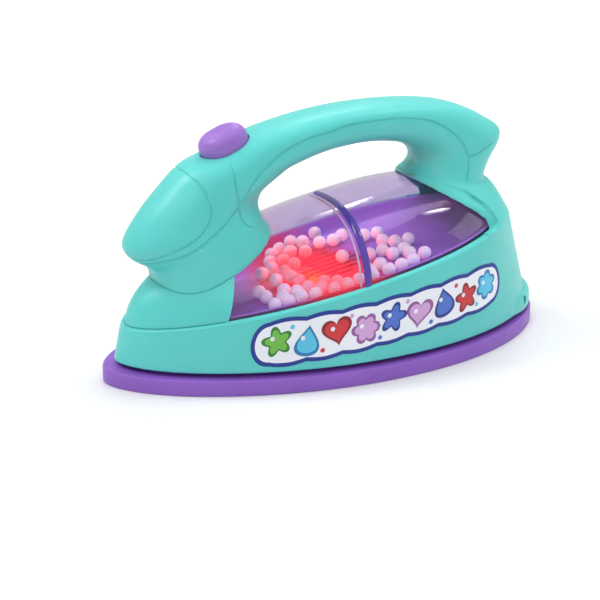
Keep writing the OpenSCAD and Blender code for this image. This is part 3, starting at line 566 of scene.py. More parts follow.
# %% Handle form
handle_shares = np.array([
    (-0.150, 0.467, -0.379, 0.305, 0.810, 2.2), (-0.134, 0.538, -0.386, 0.350, 0.820, 2.2),
    (-0.156, 0.599, -0.390, 0.406, 0.800, 2.2), (-0.164, 0.640, -0.401, 0.447, 0.780, 2.1),
    (-0.165, 0.670, -0.434, 0.487, 0.746, 2.0), (-0.159, 0.701, -0.449, 0.534, 0.700, 2.0),
    (-0.147, 0.731, -0.437, 0.589, 0.669, 2.0), (-0.131, 0.753, -0.408, 0.662, 0.650, 2.1),
    (-0.112, 0.774, -0.369, 0.741, 0.627, 2.2), (-0.095, 0.792, -0.325, 0.818, 0.596, 2.3),
    (-0.074, 0.808, -0.268, 0.862, 0.565, 2.5), (-0.047, 0.822, -0.205, 0.911, 0.538, 2.6),
    (-0.018, 0.835, -0.137, 0.948, 0.519, 2.7), (0.016, 0.843, -0.058, 0.978, 0.508, 2.7),
    (0.053, 0.848, 0.026, 0.996, 0.500, 2.7), (0.089, 0.847, 0.111, 1.000, 0.500, 2.7),
    (0.126, 0.839, 0.195, 0.991, 0.508, 2.7), (0.155, 0.826, 0.263, 0.971, 0.523, 2.6),
    (0.176, 0.808, 0.320, 0.934, 0.546, 2.5), (0.191, 0.786, 0.364, 0.889, 0.569, 2.4),
    (0.199, 0.763, 0.395, 0.848, 0.585, 2.3), (0.201, 0.741, 0.397, 0.804, 0.600, 2.2),
    (0.199, 0.721, 0.374, 0.735, 0.615, 2.2), (0.194, 0.705, 0.358, 0.670, 0.654, 2.2),
    (0.188, 0.690, 0.354, 0.612, 0.731, 2.2), (0.184, 0.675, 0.362, 0.564, 0.865, 2.2),
    (0.189, 0.629, 0.388, 0.515, 1.020, 2.2), (0.221, 0.528, 0.412, 0.450, 1.077, 2.2)])
handle_rows = handle_shares * (sole_l, toy_h, sole_l, toy_h, handle_w, 1)


def through(points, share):
    """A smooth line through points at equal steps, read at shares from 0 to 1"""
    points = np.asarray(points, float)
    at = np.clip(share, 0, 1) * (len(points) - 1)
    k = np.minimum(at.astype(int), len(points) - 2)
    t = (at - k)[:, None]
    before, start = points[np.maximum(k - 1, 0)], points[k]
    end, after = points[k + 1], points[np.minimum(k + 2, len(points) - 1)]
    slope_in, slope_out = (end - before) / 2, (after - start) / 2
    return ((2 * t ** 3 - 3 * t ** 2 + 1) * start + (t ** 3 - 2 * t ** 2 + t) * slope_in
            + (3 * t ** 2 - 2 * t ** 3) * end + (t ** 3 - t ** 2) * slope_out)


def handle_point(across, along, inset):
    """A point of the handle's loop: along runs from the front foot over the bar to the rear foot"""
    row = through(handle_rows, along)
    inner, outer = row[:, 0:2], row[:, 2:4]
    span = np.linalg.norm(outer - inner, axis=1)
    swing = 2 * np.pi * across
    c, s = np.cos(swing), np.sin(swing)
    reach = (span / 2 - inset) * np.sign(c) * np.abs(c) ** (2 / row[:, 5])
    middle = (inner + outer) / 2 + (outer - inner) / span[:, None] * reach[:, None]
    y = (row[:, 4] - inset) * np.sign(s) * np.abs(s) ** (2 / row[:, 5])
    return middle[:, 0], y, middle[:, 1]


def handle_form(name, inset, rows=135, sides=80):
    """The handle as a solid loft of rounded sections"""
    return laid_grid(name, sides, rows, lambda across, along: handle_point(across, along, inset))


print("handle sections:", len(handle_rows))

# %% Collar and heel ledge
collar_t, collar_shares, collar_lean, lean_share, collar_root = 2.2, (0.8, 1.7), 15, 0.05, 1.06
collar_edge = [(395, 167), (420, 175.5), (445, 184), (465, 191), (480, 200), (490, 209), (496, 217), (498, 223),
               (495, 229), (488, 234.5)]
edge_steps, edge_past, past_x, past_z = 60, 20, 120, 130
ledge_x, ledge_fade, ledge_h, ledge_round, ledge_inset, ledge_sink = 0.34 * sole_l, 20, 7, 4, 0.8, 4


def cut_flat(piece, point, normal):
    """Bisect a solid at a plane in millimetres, keep the side that the normal points to, close the cut"""
    with editing(piece):
        bpy.ops.mesh.bisect(plane_co=Vector(point) * MM, plane_no=normal, use_fill=True, clear_inner=True)
    return closed(piece)


def raised_band(name, low, high):
    """The band's wall carried on past the rim, where it leans further in, between two shares of its height"""
    def form(across, along):
        share = low + (high - low) * along
        x, y, z = band_spot(across, share)
        rim_x, rim_y = plan(across, rim_lines)
        past = np.clip(share - 1, 0, None)
        pull = collar_lean * np.where(past < lean_share, past ** 2 / (2 * lean_share), past - lean_share / 2)
        in_x, in_y = plan(across, inset_lines(rim_lines, pull))
        return x + in_x - rim_x, y + in_y - rim_y, z
    return laid_grid(name, 240, 18, form)


def prism(outline, half):
    """A bar along y, as long to both sides, over an outline of x and z points in millimetres"""
    bpy.ops.object.select_all(action="DESELECT")
    bpy.ops.mesh.primitive_circle_add(vertices=len(outline), fill_type="NGON")
    tool = bpy.context.object
    for vertex, (x, z) in zip(tool.data.vertices, outline):
        vertex.co = Vector((x, -half, z)) * MM
    with editing(tool):
        bpy.ops.mesh.extrude_region_move(TRANSFORM_OT_translate={"value": (0, 2 * half * MM, 0)})
    return closed(tool)


def tree_of(piece):
    """A search tree over a piece's faces"""
    return BVHTree.FromPolygons([v.co for v in piece.data.vertices], [list(f.vertices) for f in piece.data.polygons])


def collar_outline(skin):
    """The collar's front edge from the side: its pixels in the photograph, seen on the skin that it ends"""
    skin_tree = tree_of(skin)
    hits = [skin_tree.ray_cast(eye, photo_ray(pixel))[0] for pixel in collar_edge]
    line = through([(hit.x / MM, hit.z / MM) for hit in hits if hit is not None], np.linspace(0, 1, edge_steps))
    (first_x, first_z), (last_x, last_z) = line[0], line[-1]
    return [(first_x - edge_past, first_z + 0.6 * edge_past), *line, (last_x, last_z - edge_past),
            (past_x, last_z - edge_past), (past_x, past_z), (first_x - edge_past, past_z)]


def collar_form(name):
    """A skin over the rear of the bubble that carries on the band's wall"""
    skin = bubble_form("collar_skin", window_x, bubble_lines[1] + collar_t - 0.1, -collar_t, 12)
    outline = collar_outline(skin)
    piece = raised_band(name, *collar_shares)
    carve(piece, skin, "INTERSECT")
    carve(piece, raised_band("collar_root", collar_shares[0], collar_root), "UNION")
    carve(piece, prism(outline, 80), "INTERSECT")
    print("collar edge ends at x, z in mm:", outline[edge_steps].round(1))
    return piece


def ledge_form(name):
    """The heel's foot, which stands proud of the band and has a round top edge"""
    levels = [(0, 0)] + [(ledge_round * (1 - math.cos(a)), ledge_h - ledge_round * (1 - math.sin(a)))
                         for a in quarter]

    def ring(turn, pull, rise):
        fade = np.clip((plan(turn, sole_lines)[0] - ledge_x) / ledge_fade, 0, 1)
        sunk = ledge_sink * (1 - fade * fade * (3 - 2 * fade))
        return *plan(turn, inset_lines(sole_lines, ledge_inset + pull + sunk)), band_z + rise
    return cut_flat(ringed(name, 240, levels, ring), (ledge_x, 0, 0), (1, 0, 0))


print("pixels along the collar's edge:", len(collar_edge))

# %% One outer skin
skin_size, relax_rounds = 0.66, 8
dome_lap, dome_inset, dome_rear_gap, dome_play, window_gap = 4, 0.7, 1.1, 0.15, 0.2


def dome_space(name):
    """The room that the clear dome takes"""
    return bubble_form(name, window_x - window_gap, bubble_lines[1] - dome_rear_gap + dome_play,
                       dome_inset - dome_play, dome_seat + window_gap)


handle = handle_form("handle", 0)
spare = block((30, -60, 20), (120, 60, 62))
carve(spare, raised_band("wall_inside", 0.2, 2))
carve(handle, spare)
collar = collar_form("collar")
for grown in (handle, collar):
    carve(grown, dome_space("dome_tool"))
handle = joined([handle, collar])
handle.data.remesh_voxel_size = skin_size * MM
alone(handle)
bpy.ops.object.voxel_remesh()
relax = handle.modifiers.new("relax", "SMOOTH")
relax.factor, relax.iterations = 0.5, relax_rounds
bpy.ops.object.modifier_apply(modifier=relax.name)
print("handle and collar:", len(handle.data.polygons), "faces")
housing = band_form("band")
carve(housing, dome_space("dome_tool"))
carve(housing, ledge_form("ledge"), "UNION")
bulge = bubble_form("bulge", bubble_lines[0] + 0.05, window_x - window_gap, 0, dome_seat, 90, 120)
bulge_tree = tree_of(bulge)
carve(housing, bulge, "UNION")
carve(housing, handle, "UNION")
print("outer skin:", len(housing.data.polygons), "faces")

# %% [markdown]
# ## Joint lines
# The moulded parts meet in fine lines. They could be drawn as bump, but then they would be missing from the mesh,
# so a thin round bar is laid along each line, held at the skin by its nearest point, and cut out. Free ends fade.
# A finer bar cuts the creases where bulge, band and handle foot meet.

# %% Grooves
groove_r, groove_lift, groove_end, fade_share = 0.6, 0.14, 0.3, 0.25
crease_r, foot_share, foot_steps = 0.3, 0.24, 160
skin_tree = tree_of(housing)


def wire_tool(spline_points, radius, sizes=None):
    """A round bar along points, thinner where sizes are below 1"""
    curve = bpy.data.curves.new("wire", "CURVE")
    curve.dimensions = "3D"
    curve.bevel_depth, curve.bevel_resolution, curve.use_fill_caps = radius * MM, 3, True
    spline = curve.splines.new("POLY")
    spline.points.add(len(spline_points) - 1)
    for k, (point, at) in enumerate(zip(spline.points, spline_points)):
        point.co = (*at, 1)
        point.radius = 1 if sizes is None else sizes[k]
    tool = bpy.data.objects.new("wire", curve)
    bpy.context.collection.objects.link(tool)
    alone(tool)
    bpy.ops.object.convert(target="MESH")
    return closed(bpy.context.object)


def groove_tool(points, side, ends):
    """A round bar that hangs over the skin and follows it, on the near side or its mirror; free ends fade out"""
    share = np.linspace(0, 1, 9 * len(points))
    line = through(points, share)
    line[:, 1] *= -side
    spots = [skin_tree.find_nearest(Vector(p) * MM)[:2] for p in line]
    fade = np.minimum(np.where(ends[0], share, 1), np.where(ends[1], 1 - share, 1))
    sizes = groove_end + (1 - groove_end) * np.clip(fade / fade_share, 0, 1)
    return wire_tool([spot + normal * groove_lift * MM for spot, normal in spots], groove_r, sizes)


def foot_line():
    """Where the handle's front foot meets the bulge, from the near window edge round to the far one"""
    line, along = [], np.linspace(foot_share, 0, foot_steps)
    for across in np.linspace(-0.5, 0.5, 241):
        for x, y, z in zip(*handle_point(np.full_like(along, across % 1), along, 0)):
            below = bulge_tree.ray_cast(Vector((x, y, past_z)) * MM, (0, 0, -1))[0]
            if below is not None and below.z / MM >= z:
                line.append(below)
                break
    return line


side_groove = [(-81, -5.5, 48), (-75, -13, 50), (-68.5, -16.5, 52), (-63, -18, 54.5), (-57, -18.5, 58.5),
               (-50, -17.5, 63.5), (-45, -16, 68.5), (-37, -15, 78), (-26.5, -14, 85.5), (-16, -13, 89.5),
               (-5.5, -13, 91.5), (3, -12.5, 93), (16, -12.5, 93.5), (24, -12.5, 93.3), (31, -12.5, 92.6),
               (38, -13, 91), (43.5, -13.5, 88.5), (49, -14.5, 84.5), (52.4, -15, 80.5), (54.5, -15.5, 75)]
tail_groove = [(54.5, -15.5, 75), (60, -15, 76.5), (64, -14.5, 78.3), (69, -12, 79.8)]
rear_groove = [(54.5, -15.5, 75), (54.5, -16, 71), (53.5, -16.5, 68), (53, -18, 65.5)]
hook_groove = [(-46.2, -10.5, 84.5), (-46.5, -14, 81), (-45.5, -16, 72), (-44.5, -16.5, 65.5), (-43, -17, 61.5),
               (-40.5, -17, 59.8), (-37.5, -16, 59.5)]
nose_groove = [(-62, 0, 80.5), (-61, -7.5, 79.3), (-58.7, -12.5, 76.5), (-57, -15.5, 71.7), (-56.3, -16.5, 68),
               (-57.8, -17, 63.4), (-61.6, -17.5, 59), (-67.4, -17, 55.7), (-74, -14, 52.7), (-78.5, -10, 50.8),
               (-82, -5, 49.9), (-84, 0, 49.7)]
for groove, ends in ((side_groove, (0, 0)), (tail_groove, (0, 1)), (rear_groove, (0, 1)), (hook_groove, (1, 1)),
                     (nose_groove, (0, 0))):
    for side in (-1, 1):
        carve(housing, groove_tool(groove, side, ends))
front_turns = np.concatenate([np.linspace(0.86, 1, 60), np.linspace(0, 0.14, 60)[1:]])
rim_crease = [Vector((x, y, rim_z(x))) * MM for x, y in zip(*plan(front_turns, bubble_lines)) if x < window_x - 1]
carve(housing, wire_tool(rim_crease, crease_r))
carve(housing, wire_tool(foot_line(), crease_r))
print("grooves cut:", len(housing.data.polygons), "faces")

# %% [markdown]
# ## Hollow shells, nose cap and halves
# The solid skin is hollowed to a wall, as in the mould, and a bulkhead closes the bulge where the clear dome
# begins. The button gets its well, the heel its two blind holes, and the far side the recesses of its screws.
# The nose cap is cut out along the middle of its groove, then the rest is parted into the two halves.

# %% Hollow
button_tilt = math.radians(22.5)
button_mid = (-0.229 * sole_l, 0.886 * toy_h)
button_l, button_w, flange_drop = 19.6, 16.4, 6.4


def on_button_axis(x, y, z):
    """From the button's own axes to the toy's"""
    c, s = math.cos(button_tilt), math.sin(button_tilt)
    return button_mid[0] + c * x - s * z, y, button_mid[1] + s * x + c * z


def stadium(turn, inset):
    """A point of the button's outline, moved inwards"""
    swing = 2 * np.pi * turn
    r = button_w / 2 - inset
    x = np.sign(np.cos(swing)) * np.minimum((button_l - button_w) / 2, np.maximum(r, 0)) + r * np.cos(swing)
    return x, r * np.sin(swing)


def button_loft(name, levels):
    """A loft over the button's outline; each level has an inset and a height"""
    return ringed(name, 96, levels, lambda turn, pull, height: on_button_axis(*stadium(turn, pull), height))


rim_roof, well_gap, bulkhead_x = 1.2, 0.35, window_x - dome_lap
carve(housing, band_form("inner_band", wall, 1, -rim_roof, False))
carve(housing, bubble_form("inner_bulge", bubble_lines[0] + wall + 0.4, window_x + 1, wall, dome_seat + 1, 24, 24))
carve(housing, handle_form("inner_handle", wall, 54, 32))
carve(housing, bubble_form("lip_room", bulkhead_x, window_x + 1, dome_inset - 0.1, dome_seat + 1, 8, 48))
carve(housing, bubble_form("bulkhead", bulkhead_x - wall, bulkhead_x - window_gap, wall / 2, dome_seat, 4, 48),
      "UNION")
carve(housing, button_loft("button_well", [(-well_gap, -flange_drop - 1), (-well_gap, 30)]))
heel_x, heel_turn, heel_hole_d = 0.437 * sole_l, math.radians(48), 3.6
for side in (-1, 1):
    mouth = Vector((heel_x, side * half_width(heel_x, sole_lines), band_z + heel_hole_d))
    out = Vector((math.cos(heel_turn), side * math.sin(heel_turn), 0))
    carve(housing, rod(mouth - 4 * out, mouth + 9 * out, heel_hole_d))
screw_places = [(-0.245 * sole_l, 0.62 * toy_h), (0.03 * sole_l, 0.925 * toy_h), (0.31 * sole_l, 0.78 * toy_h)]
boss_d, boss_half, recess_d = 6.4, 7, 5.4
for x, z in screw_places:
    carve(housing, rod((x, -boss_half, z), (x, boss_half, z), boss_d), "UNION")
    carve(housing, rod((x, boss_half - 1, z), (x, 40, z), recess_d))
print("hollow shell:", len(housing.data.polygons), "faces")

# %% Nose cap and halves
nose_line = through([(x, z) for x, y, z in nose_groove], np.linspace(0, 1, 60))
nose_outline = [*nose_line, (-110, nose_line[-1][1]), (-110, 110), (nose_line[0][0], 110)]
nose_cap = twin(housing, "nose_panel")
carve(nose_cap, prism(nose_outline, 50), "INTERSECT")
carve(housing, prism(nose_outline, 50))
far_half = twin(housing, "far_half_shell")
housing.name = "near_half_shell"
seam = 0.06
carve(housing, block((-120, -80, -10), (120, -seam, 150)), "INTERSECT")
carve(far_half, block((-120, seam, -10), (120, 80, 150)), "INTERSECT")
for shell, node in ((housing, "housing_left"), (far_half, "housing_right"), (nose_cap, "nose_cap")):
    finished(shell, "iron", "housing", [teal_shell], node)

# %% [markdown]
# ## Sole
# The sole is a purple plate with rounded edges and a lower pedestal that carries the housing and leaves a dark
# gap all round. It is lofted from the shared outline, then the battery bay, the door's seat and the screw
# holes are cut from below, as in the solid.

# %% Sole
sole_t, pedestal_z = 6.3, 10.5
pedestal_lines = (-86, 86.3, 39.3, heel_powers)
sole_levels = [(0.8, 0, 0), (0.25, 0.12, 0), (0, 0.6, 0), (0, sole_t - 0.9, 0), (0.08, sole_t - 0.45, 0),
               (0.35, sole_t - 0.12, 0), (0.8, sole_t, 0), (1.4, sole_t, 0), (3.5, sole_t, 0), (0, sole_t, 1),
               (0, pedestal_z, 1)]


def sole_ring(turn, pull, z, raised):
    """Rings from the underside over the rounded edge to the pedestal's top"""
    x, y = np.where(raised, plan(turn, pedestal_lines), plan(turn, inset_lines(sole_lines, pull)))
    return x, y, z


def cut_below(from_x, to_x, half, top):
    """Cut a room into the sole from below"""
    carve(sole, block((from_x, -half, -1), (to_x, half, top)))


def cut_hinge(half, diameter):
    """Cut a round bar along the door's hinge"""
    carve(sole, rod((hinge_x, -half, hinge_z), (hinge_x, half, hinge_z), diameter))


sole = ringed("purple_sole_plate", 280, sole_levels, sole_ring)
bay_x, bay_l, bay_w, door_lap, seat_z = 18.05, 56.6, 31.4, 2.4, 2.8
hinge_x, hinge_z, door_w, door_t, door_gap = bay_x - door_lap, 1.5, 36.2, 2.2, 0.3
pin_d, pin_l, door_screw_d = 1.6, 2.6, 4.6
door_end, tongue_l, tongue_w, seat_half = bay_x + bay_l + door_lap, 9, 12, door_w / 2 + door_gap
door_screw_x = door_end + tongue_l / 2
cut_below(bay_x, bay_x + bay_l, bay_w / 2, 20)
cut_below(hinge_x, door_end + door_gap, seat_half, seat_z)
cut_below(door_end - 1, door_end + tongue_l + door_gap, tongue_w / 2 + door_gap, seat_z)
cut_hinge(seat_half, door_t + 2 * door_gap)
cut_below(hinge_x - door_t / 2 - door_gap, hinge_x + door_t / 2, seat_half, hinge_z)
cut_hinge(door_w / 2 + pin_l, pin_d)
carve(sole, rod((door_screw_x, 0, 0), (door_screw_x, 0, sole_t), door_screw_d))
post_in, hole_d, head_d, head_z = 6.5, 2.8, 5.4, 3.8
for share in (-0.34, -0.09, 0.33):
    post_x = share * sole_l
    post_y = half_width(post_x, band_lines) - wall - post_in
    for y in (-post_y, post_y):
        carve(sole, rod((post_x, y, -1), (post_x, y, 20), hole_d))
        carve(sole, rod((post_x, y, -1), (post_x, y, head_z), head_d))
finished(sole, "iron", "sole", [purple_sole], "sole_plate", angle=30)

# %% [markdown]
# ## Clear dome
# The dome is a thin blown shell, so it needs an outer and an inner wall for light to bend in it as in the
# real one. Shadows pass through it, because a clear cover lets the studio light reach the balls. Its faint
# ripple and smudges keep the highlights from looking like a perfect mirror.

# %% Dome
dome_end = bubble_lines[1] - dome_rear_gap
dome = bubble_form("clear_dome", window_x - dome_lap, dome_end, dome_inset, dome_seat, 96, 96)
inner_dome = bubble_form("dome_inside", window_x - 2 * dome_lap, dome_end - dome_wall,
                         dome_inset + dome_wall, dome_seat + 2, 96, 96)
carve(dome, inner_dome)

clear_plastic, tree, shader = finish("clear_plastic")
feed(tree, shader, Base_Color=(0.62, 0.55, 0.7, 1), Transmission_Weight=1, IOR=1.46,
     Roughness=spread_values(tree, noise(tree, 90, 4), 0.4, 0.75, 0.02, 0.07),
     Normal=bumped(tree, noise(tree, 45, 1), 0.12, 0.6 * MM))
shadow_way = add(tree, "ShaderNodeBsdfTransparent", Color=(0.97, 0.96, 0.99, 1))
choose = add(tree, "ShaderNodeMixShader", Fac=tree.nodes.new("ShaderNodeLightPath").outputs["Is Shadow Ray"])
tree.links.new(shader.outputs["BSDF"], choose.inputs[1])
tree.links.new(shadow_way.outputs["BSDF"], choose.inputs[2])
tree.links.new(choose.outputs["Shader"], tree.nodes["Material Output"].inputs["Surface"])
finished(dome, "iron", "clear_dome", [clear_plastic], "dome", angle=40)

# %% [markdown]
# ## Strip over the dome
# A dark glossy strip runs over the dome from its near rim to a little past the ridge, with a thin pale rib in
# front of it. Both are half-round profiles carried over the bubble's own curve, so that they lie on the dome.

# %% Strip over the dome
strip_x, strip_lean, strip_end = -0.012 * sole_l, 0.1, 0.56
strip_turns = np.append(np.radians(np.arange(0, 181, 15)), 0)


def dome_strip(name, middle_x, width, proud, lift, start):
    """A half-round strip on the dome; start is its lower end's share of the way over"""
    def form(across, along):
        swing = strip_turns[step_of(across, len(strip_turns) - 1)]
        way = np.pi * (start + (strip_end - start) * along)
        return bubble(middle_x - width / 2 * np.cos(swing), strip_lean, way,
                      dome_inset - proud * np.sin(swing) - lift)
    return laid_grid(name, len(strip_turns) - 1, 96, form)


strip = dome_strip("dome_band_strip", strip_x, 3, 0.95, 0.05, 0)
strip_faces = len(strip.data.polygons)
strip = joined([strip, dome_strip("pale_rib", strip_x - 2.9, 0.8, 0.4, 0.02, 0.02)])
dark_strip.node_tree.nodes["Principled BSDF"].inputs["Coat Weight"].default_value = 1
finished(strip, "iron", "strip", [dark_strip, pale_rib], "dome_strip", angle=50)
rib_faces = np.arange(len(strip.data.polygons)) >= strip_faces
strip.data.polygons.foreach_set("material_index", rib_faces.astype(np.int32))

# %% [markdown]
# ## Tray, lamp and foam balls
# Under the dome lies a purple tray with sloping sides. The lamp stands in it and lights everything near it red. That
# light is painted onto the tray and the balls: a soft mask around the lamp, which both share, makes them glow and
# turns their colour red there. The balls also glow faintly all over, painted light that brightens them under the
# dome. The balls are expanded
# foam: nearly round, matt, with a fine cell pattern, and each lies on the tray's floor.

# %% Lamp glow group
led_x, led_y, led_d = -0.068 * sole_l, -0.16 * sole_w, 5
tray_floor, tray_t, tray_slope, tray_lip, tray_gap = 4, 1.6, 4, 0.6, 0.7
ball_d, glow_pixel, glow_depth = 5.3, (314, 270), 0.45


def ball_z(x):
    """Height of the middle of a ball that lies on the tray's floor"""
    return float(rim_z(x)) - tray_floor + ball_d / 2 / math.cos(rim_tilt)


def on_floor(pixel):
    """The place of a ball's middle on the tray's floor, seen at a pixel of the photograph"""
    ray, spot = photo_ray(pixel), aim
    for _ in range(8):
        spot = eye + ray * (((ball_z(spot.x / MM) + 0.05) * MM - eye.z) / ray.z)
    return np.array(spot) / MM


glow_x, glow_y, glow_z = on_floor(glow_pixel)
# Painted light: a mask around the lamp, orange at its core and red further out, that fades with the distance.
glow_group, given, result = new_group("painted_lamp_glow", {"Rest": (0, 0, 0, 1), "Reach": 0.02},
                                      {"Colour": "NodeSocketColor", "Mask": "NodeSocketFloat"})
tree = glow_group
spread = add(tree, "ShaderNodeMapping", Vector=object_place(tree), Scale=(1, glow_depth, 1))
apart = distance(tree, spread.outputs["Vector"], (glow_x * MM, glow_y * MM * glow_depth, glow_z * MM))
near = faded(tree, apart, given["Reach"], 1)
painted_lamp_colour = mixed(tree, spread_values(tree, apart, 0.001, 0.006, 1, 0), (1, 0.01, 0.045, 1), (1, 0.16, 0.01, 1))
feed(tree, result, Colour=mixed(tree, near, given["Rest"], painted_lamp_colour), Mask=spread_values(tree, near, 0, 0.45, 0, 1))


def painted_lamp_glow(tree, shader, reach, strength, painted_lamp_tint, rest=(0, 0, 0, 1)):
    """Paint the lamp's light into a finish: it glows near the lamp and its colour turns to the lamp's there"""
    glow = feed(tree, grouped(tree, glow_group), Reach=reach, Rest=rest).outputs
    plain = shader.inputs["Base Color"].links[0].from_socket
    feed(tree, shader, Emission_Color=glow["Colour"], Emission_Strength=strength,
         Base_Color=mixed(tree, glow["Mask"], plain, painted_lamp_tint))


print("the glow's middle in mm:", np.round((glow_x, glow_y, glow_z), 1))

# %% Tray
fan_x, fan_d, slot_step, slot_w, foot_d, tray_steps = 0.005 * sole_l, 26, 4, 2.4, 5, 180
tray_levels = [
    (tray_slope + tray_t, -tray_floor - tray_t), (0.2, tray_lip - 0.3), (0, tray_lip), (0.4, tray_lip + 0.25),
    (tray_t - 0.3, tray_lip), (tray_t, tray_lip - 0.3), (tray_slope + tray_t - 0.6, -tray_floor + 0.6),
    (tray_slope + tray_t + 0.8, -tray_floor)]


def tray_ring(across, pull, rise):
    """Rings from the underside over the lip down to the floor; the last column closes the front wall"""
    column = step_of(across, tray_steps + 1) % (tray_steps + 1)
    way = 1 - np.abs(1 - 2 * column / tray_steps)
    total = dome_wall + tray_gap + pull
    front, rear = window_x - 2.6 + pull, bubble_lines[1] - total
    x = front + (rear - front) * np.sin(way * np.pi / 2)
    y = np.where(column <= tray_steps / 2, -1, 1) * half_width(x, inset_lines(bubble_lines, total))
    return x, y, rim_z(x) + rise


tray = ringed("ball_tray_floor", tray_steps + 1, tray_levels, tray_ring)
carve(tray, bubble_form("front_wall", window_x - 3.2, window_x - 2.2, dome_inset + dome_wall + 0.2, tray_floor + 1,
                        4, 48), "UNION")
for x, y in ((-0.16 * sole_l, 0.27 * sole_w), (0.22 * sole_l, 0.3 * sole_w)):
    foot_top = rim_z(x) - tray_floor - tray_t / 2
    for side in (-1, 1):
        carve(tray, rod((x, side * y, pedestal_z), (x, side * y, foot_top), foot_d), "UNION")
for k in range(-3, 4):
    y = slot_step * k
    reach = math.sqrt((fan_d / 2) ** 2 - y * y)
    carve(tray, block((fan_x - reach, y - slot_w / 2, pedestal_z), (fan_x + reach, y + slot_w / 2, 60)))
carve(tray, rod((led_x, led_y, pedestal_z), (led_x, led_y, 60), led_d + 0.4))

purple_tray = plastic("purple_tray", (0.4, 0.155, 0.7), (0.35, 0.13, 0.63), (0.56, 0.32, 0.8),
                      (0.14, 0.05, 0.3), gloss=(0.5, 0.62))
tree = purple_tray.node_tree
# Painted lamp light on the tray: it glows red and turns red near the lamp.
painted_lamp_glow(tree, tree.nodes["Principled BSDF"], 0.032, 1.2, (0.35, 0.004, 0.02, 1))
finished(tray, "iron", "tray", [purple_tray], "ball_tray", angle=40)

# %% Lamp
lamp_red, tree, shader = finish("lamp_red")
facets = noise(tree, 900, 2)
feed(tree, shader, Base_Color=mixed(tree, facets, (0.9, 0.05, 0.01, 1), (1, 0.1, 0.02, 1)), Roughness=0.3,
     Emission_Color=mixed(tree, facets, (1, 0.1, 0.004, 1), (1, 0.16, 0.008, 1)), Emission_Strength=1.6)
dress(nodes["led"], lamp_red)
bpy.ops.object.light_add(type="POINT", location=Vector((glow_x, glow_y, glow_z + 6)) * MM)
lamp_light = bpy.context.object
lamp_light.name = "lamp_light"
lamp_light.data.color, lamp_light.data.energy = (1, 0.05, 0.03), 0.045
lamp_light.data.shadow_soft_size = 2.5 * MM
lamp_light.visible_transmission = lamp_light.visible_glossy = False
print("lamp light at", lamp_light.data.energy, "W")

# %% Foam balls
front_pixels = [(312, 230), (289, 239), (302, 240), (319, 241), (333, 239), (341, 234), (279, 247), (290, 250),
                (305, 251), (342, 256), (283, 259), (294, 263), (271, 253), (270, 261), (272, 268), (262, 273),
                (285, 271), (276, 280), (292, 277), (298, 280), (284, 290), (298, 291), (308, 287), (259, 292),
                (266, 297), (284, 299), (288, 306), (299, 300), (308, 297), (321, 292), (320, 299), (328, 284),
                (342, 285), (348, 285), (338, 293), (355, 285)]
rear_pixels = [(367, 234), (373, 233), (382, 240), (395, 241), (407, 239), (382, 250), (394, 253), (369, 254),
               (403, 250), (408, 252), (424, 253), (380, 264), (391, 271), (407, 268), (421, 265), (378, 278),
               (371, 272)]


def settled(pixels, low_x, high_x, rounds=120):
    """Balls at their pixels, pushed apart and kept on the floor between its two ends"""
    spots = np.array([on_floor(pixel)[:2] for pixel in pixels])
    margin = ball_d / 2 + 0.15
    for _ in range(rounds):
        for i in range(len(spots)):
            away = spots[i] - spots
            gap = np.linalg.norm(away, axis=1)
            for j in np.flatnonzero((gap < ball_d + 0.05) & (gap > 0)):
                push = away[j] / gap[j] * (ball_d + 0.06 - gap[j]) / 2
                spots[i] += push
                spots[j] -= push
        lamp_way = spots - (led_x, led_y)
        lamp_gap = np.linalg.norm(lamp_way, axis=1, keepdims=True)
        spots += lamp_way / lamp_gap * np.clip((led_d + ball_d) / 2 + 0.3 - lamp_gap, 0, None)
        spots[:, 0] = np.clip(spots[:, 0], low_x + margin, high_x - margin)
        floor_lines = inset_lines(bubble_lines, dome_wall + tray_gap + tray_slope + tray_t)
        side_room = half_width(spots[:, 0], floor_lines) - margin
        spots[:, 1] = np.clip(spots[:, 1], -side_room, side_room)
    return spots


def foam_ball(spot, seed):
    """One ball: a fine icosphere, a little uneven, turned its own way"""
    x, y = spot
    bpy.ops.object.select_all(action="DESELECT")
    bpy.ops.mesh.primitive_ico_sphere_add(subdivisions=4, radius=ball_d / 2 * MM,
                                          location=Vector((x, y, ball_z(x) + 0.02)) * MM,
                                          rotation=(seed, 2.4 * seed, 0.7 * seed))
    ball = bpy.context.object
    bpy.ops.object.transform_apply()
    with editing(ball):
        bpy.ops.transform.vertex_random(offset=0.025 * MM, normal=1, seed=seed)
    return ball


white_foam, tree, shader = finish("white_foam")
cells = add(tree, "ShaderNodeTexVoronoi", Vector=object_place(tree), Scale=1300).outputs["Distance"]
feed(tree, shader, Base_Color=mixed(tree, noise(tree, 220, 2), (0.86, 0.84, 0.85, 1), (0.95, 0.94, 0.95, 1)),
     Normal=bumped(tree, cells, 0.35, 0.1 * MM), Roughness=spread_values(tree, cells, 0, 1, 0.6, 0.85),
     Subsurface_Weight=0.3, Subsurface_Scale=1.5 * MM)
# Painted light on the balls: the lamp's red glow near it, and a faint even glow all over that brightens them under
# the dome.
painted_lamp_glow(tree, shader, 0.019, 0.55, (0.95, 0.34, 0.33, 1), (0.17, 0.155, 0.175, 1))
spots = settled(front_pixels + rear_pixels, -50, 62)
for end, group in (("front", spots[:len(front_pixels)]), ("rear", spots[len(front_pixels):])):
    pile = joined([foam_ball(spot, k + 1) for k, spot in enumerate(group)])
    pile.name = "loose_balls_" + end
    finished(pile, "iron", "foam", [white_foam], "foam_balls_" + end, angle=60)

# %% [markdown]
# ## Button
# The button is a rounded purple bean with a shallow dish for the thumb. It is lofted over its own outline:
# flange, straight sides, a wide round shoulder and the dish.

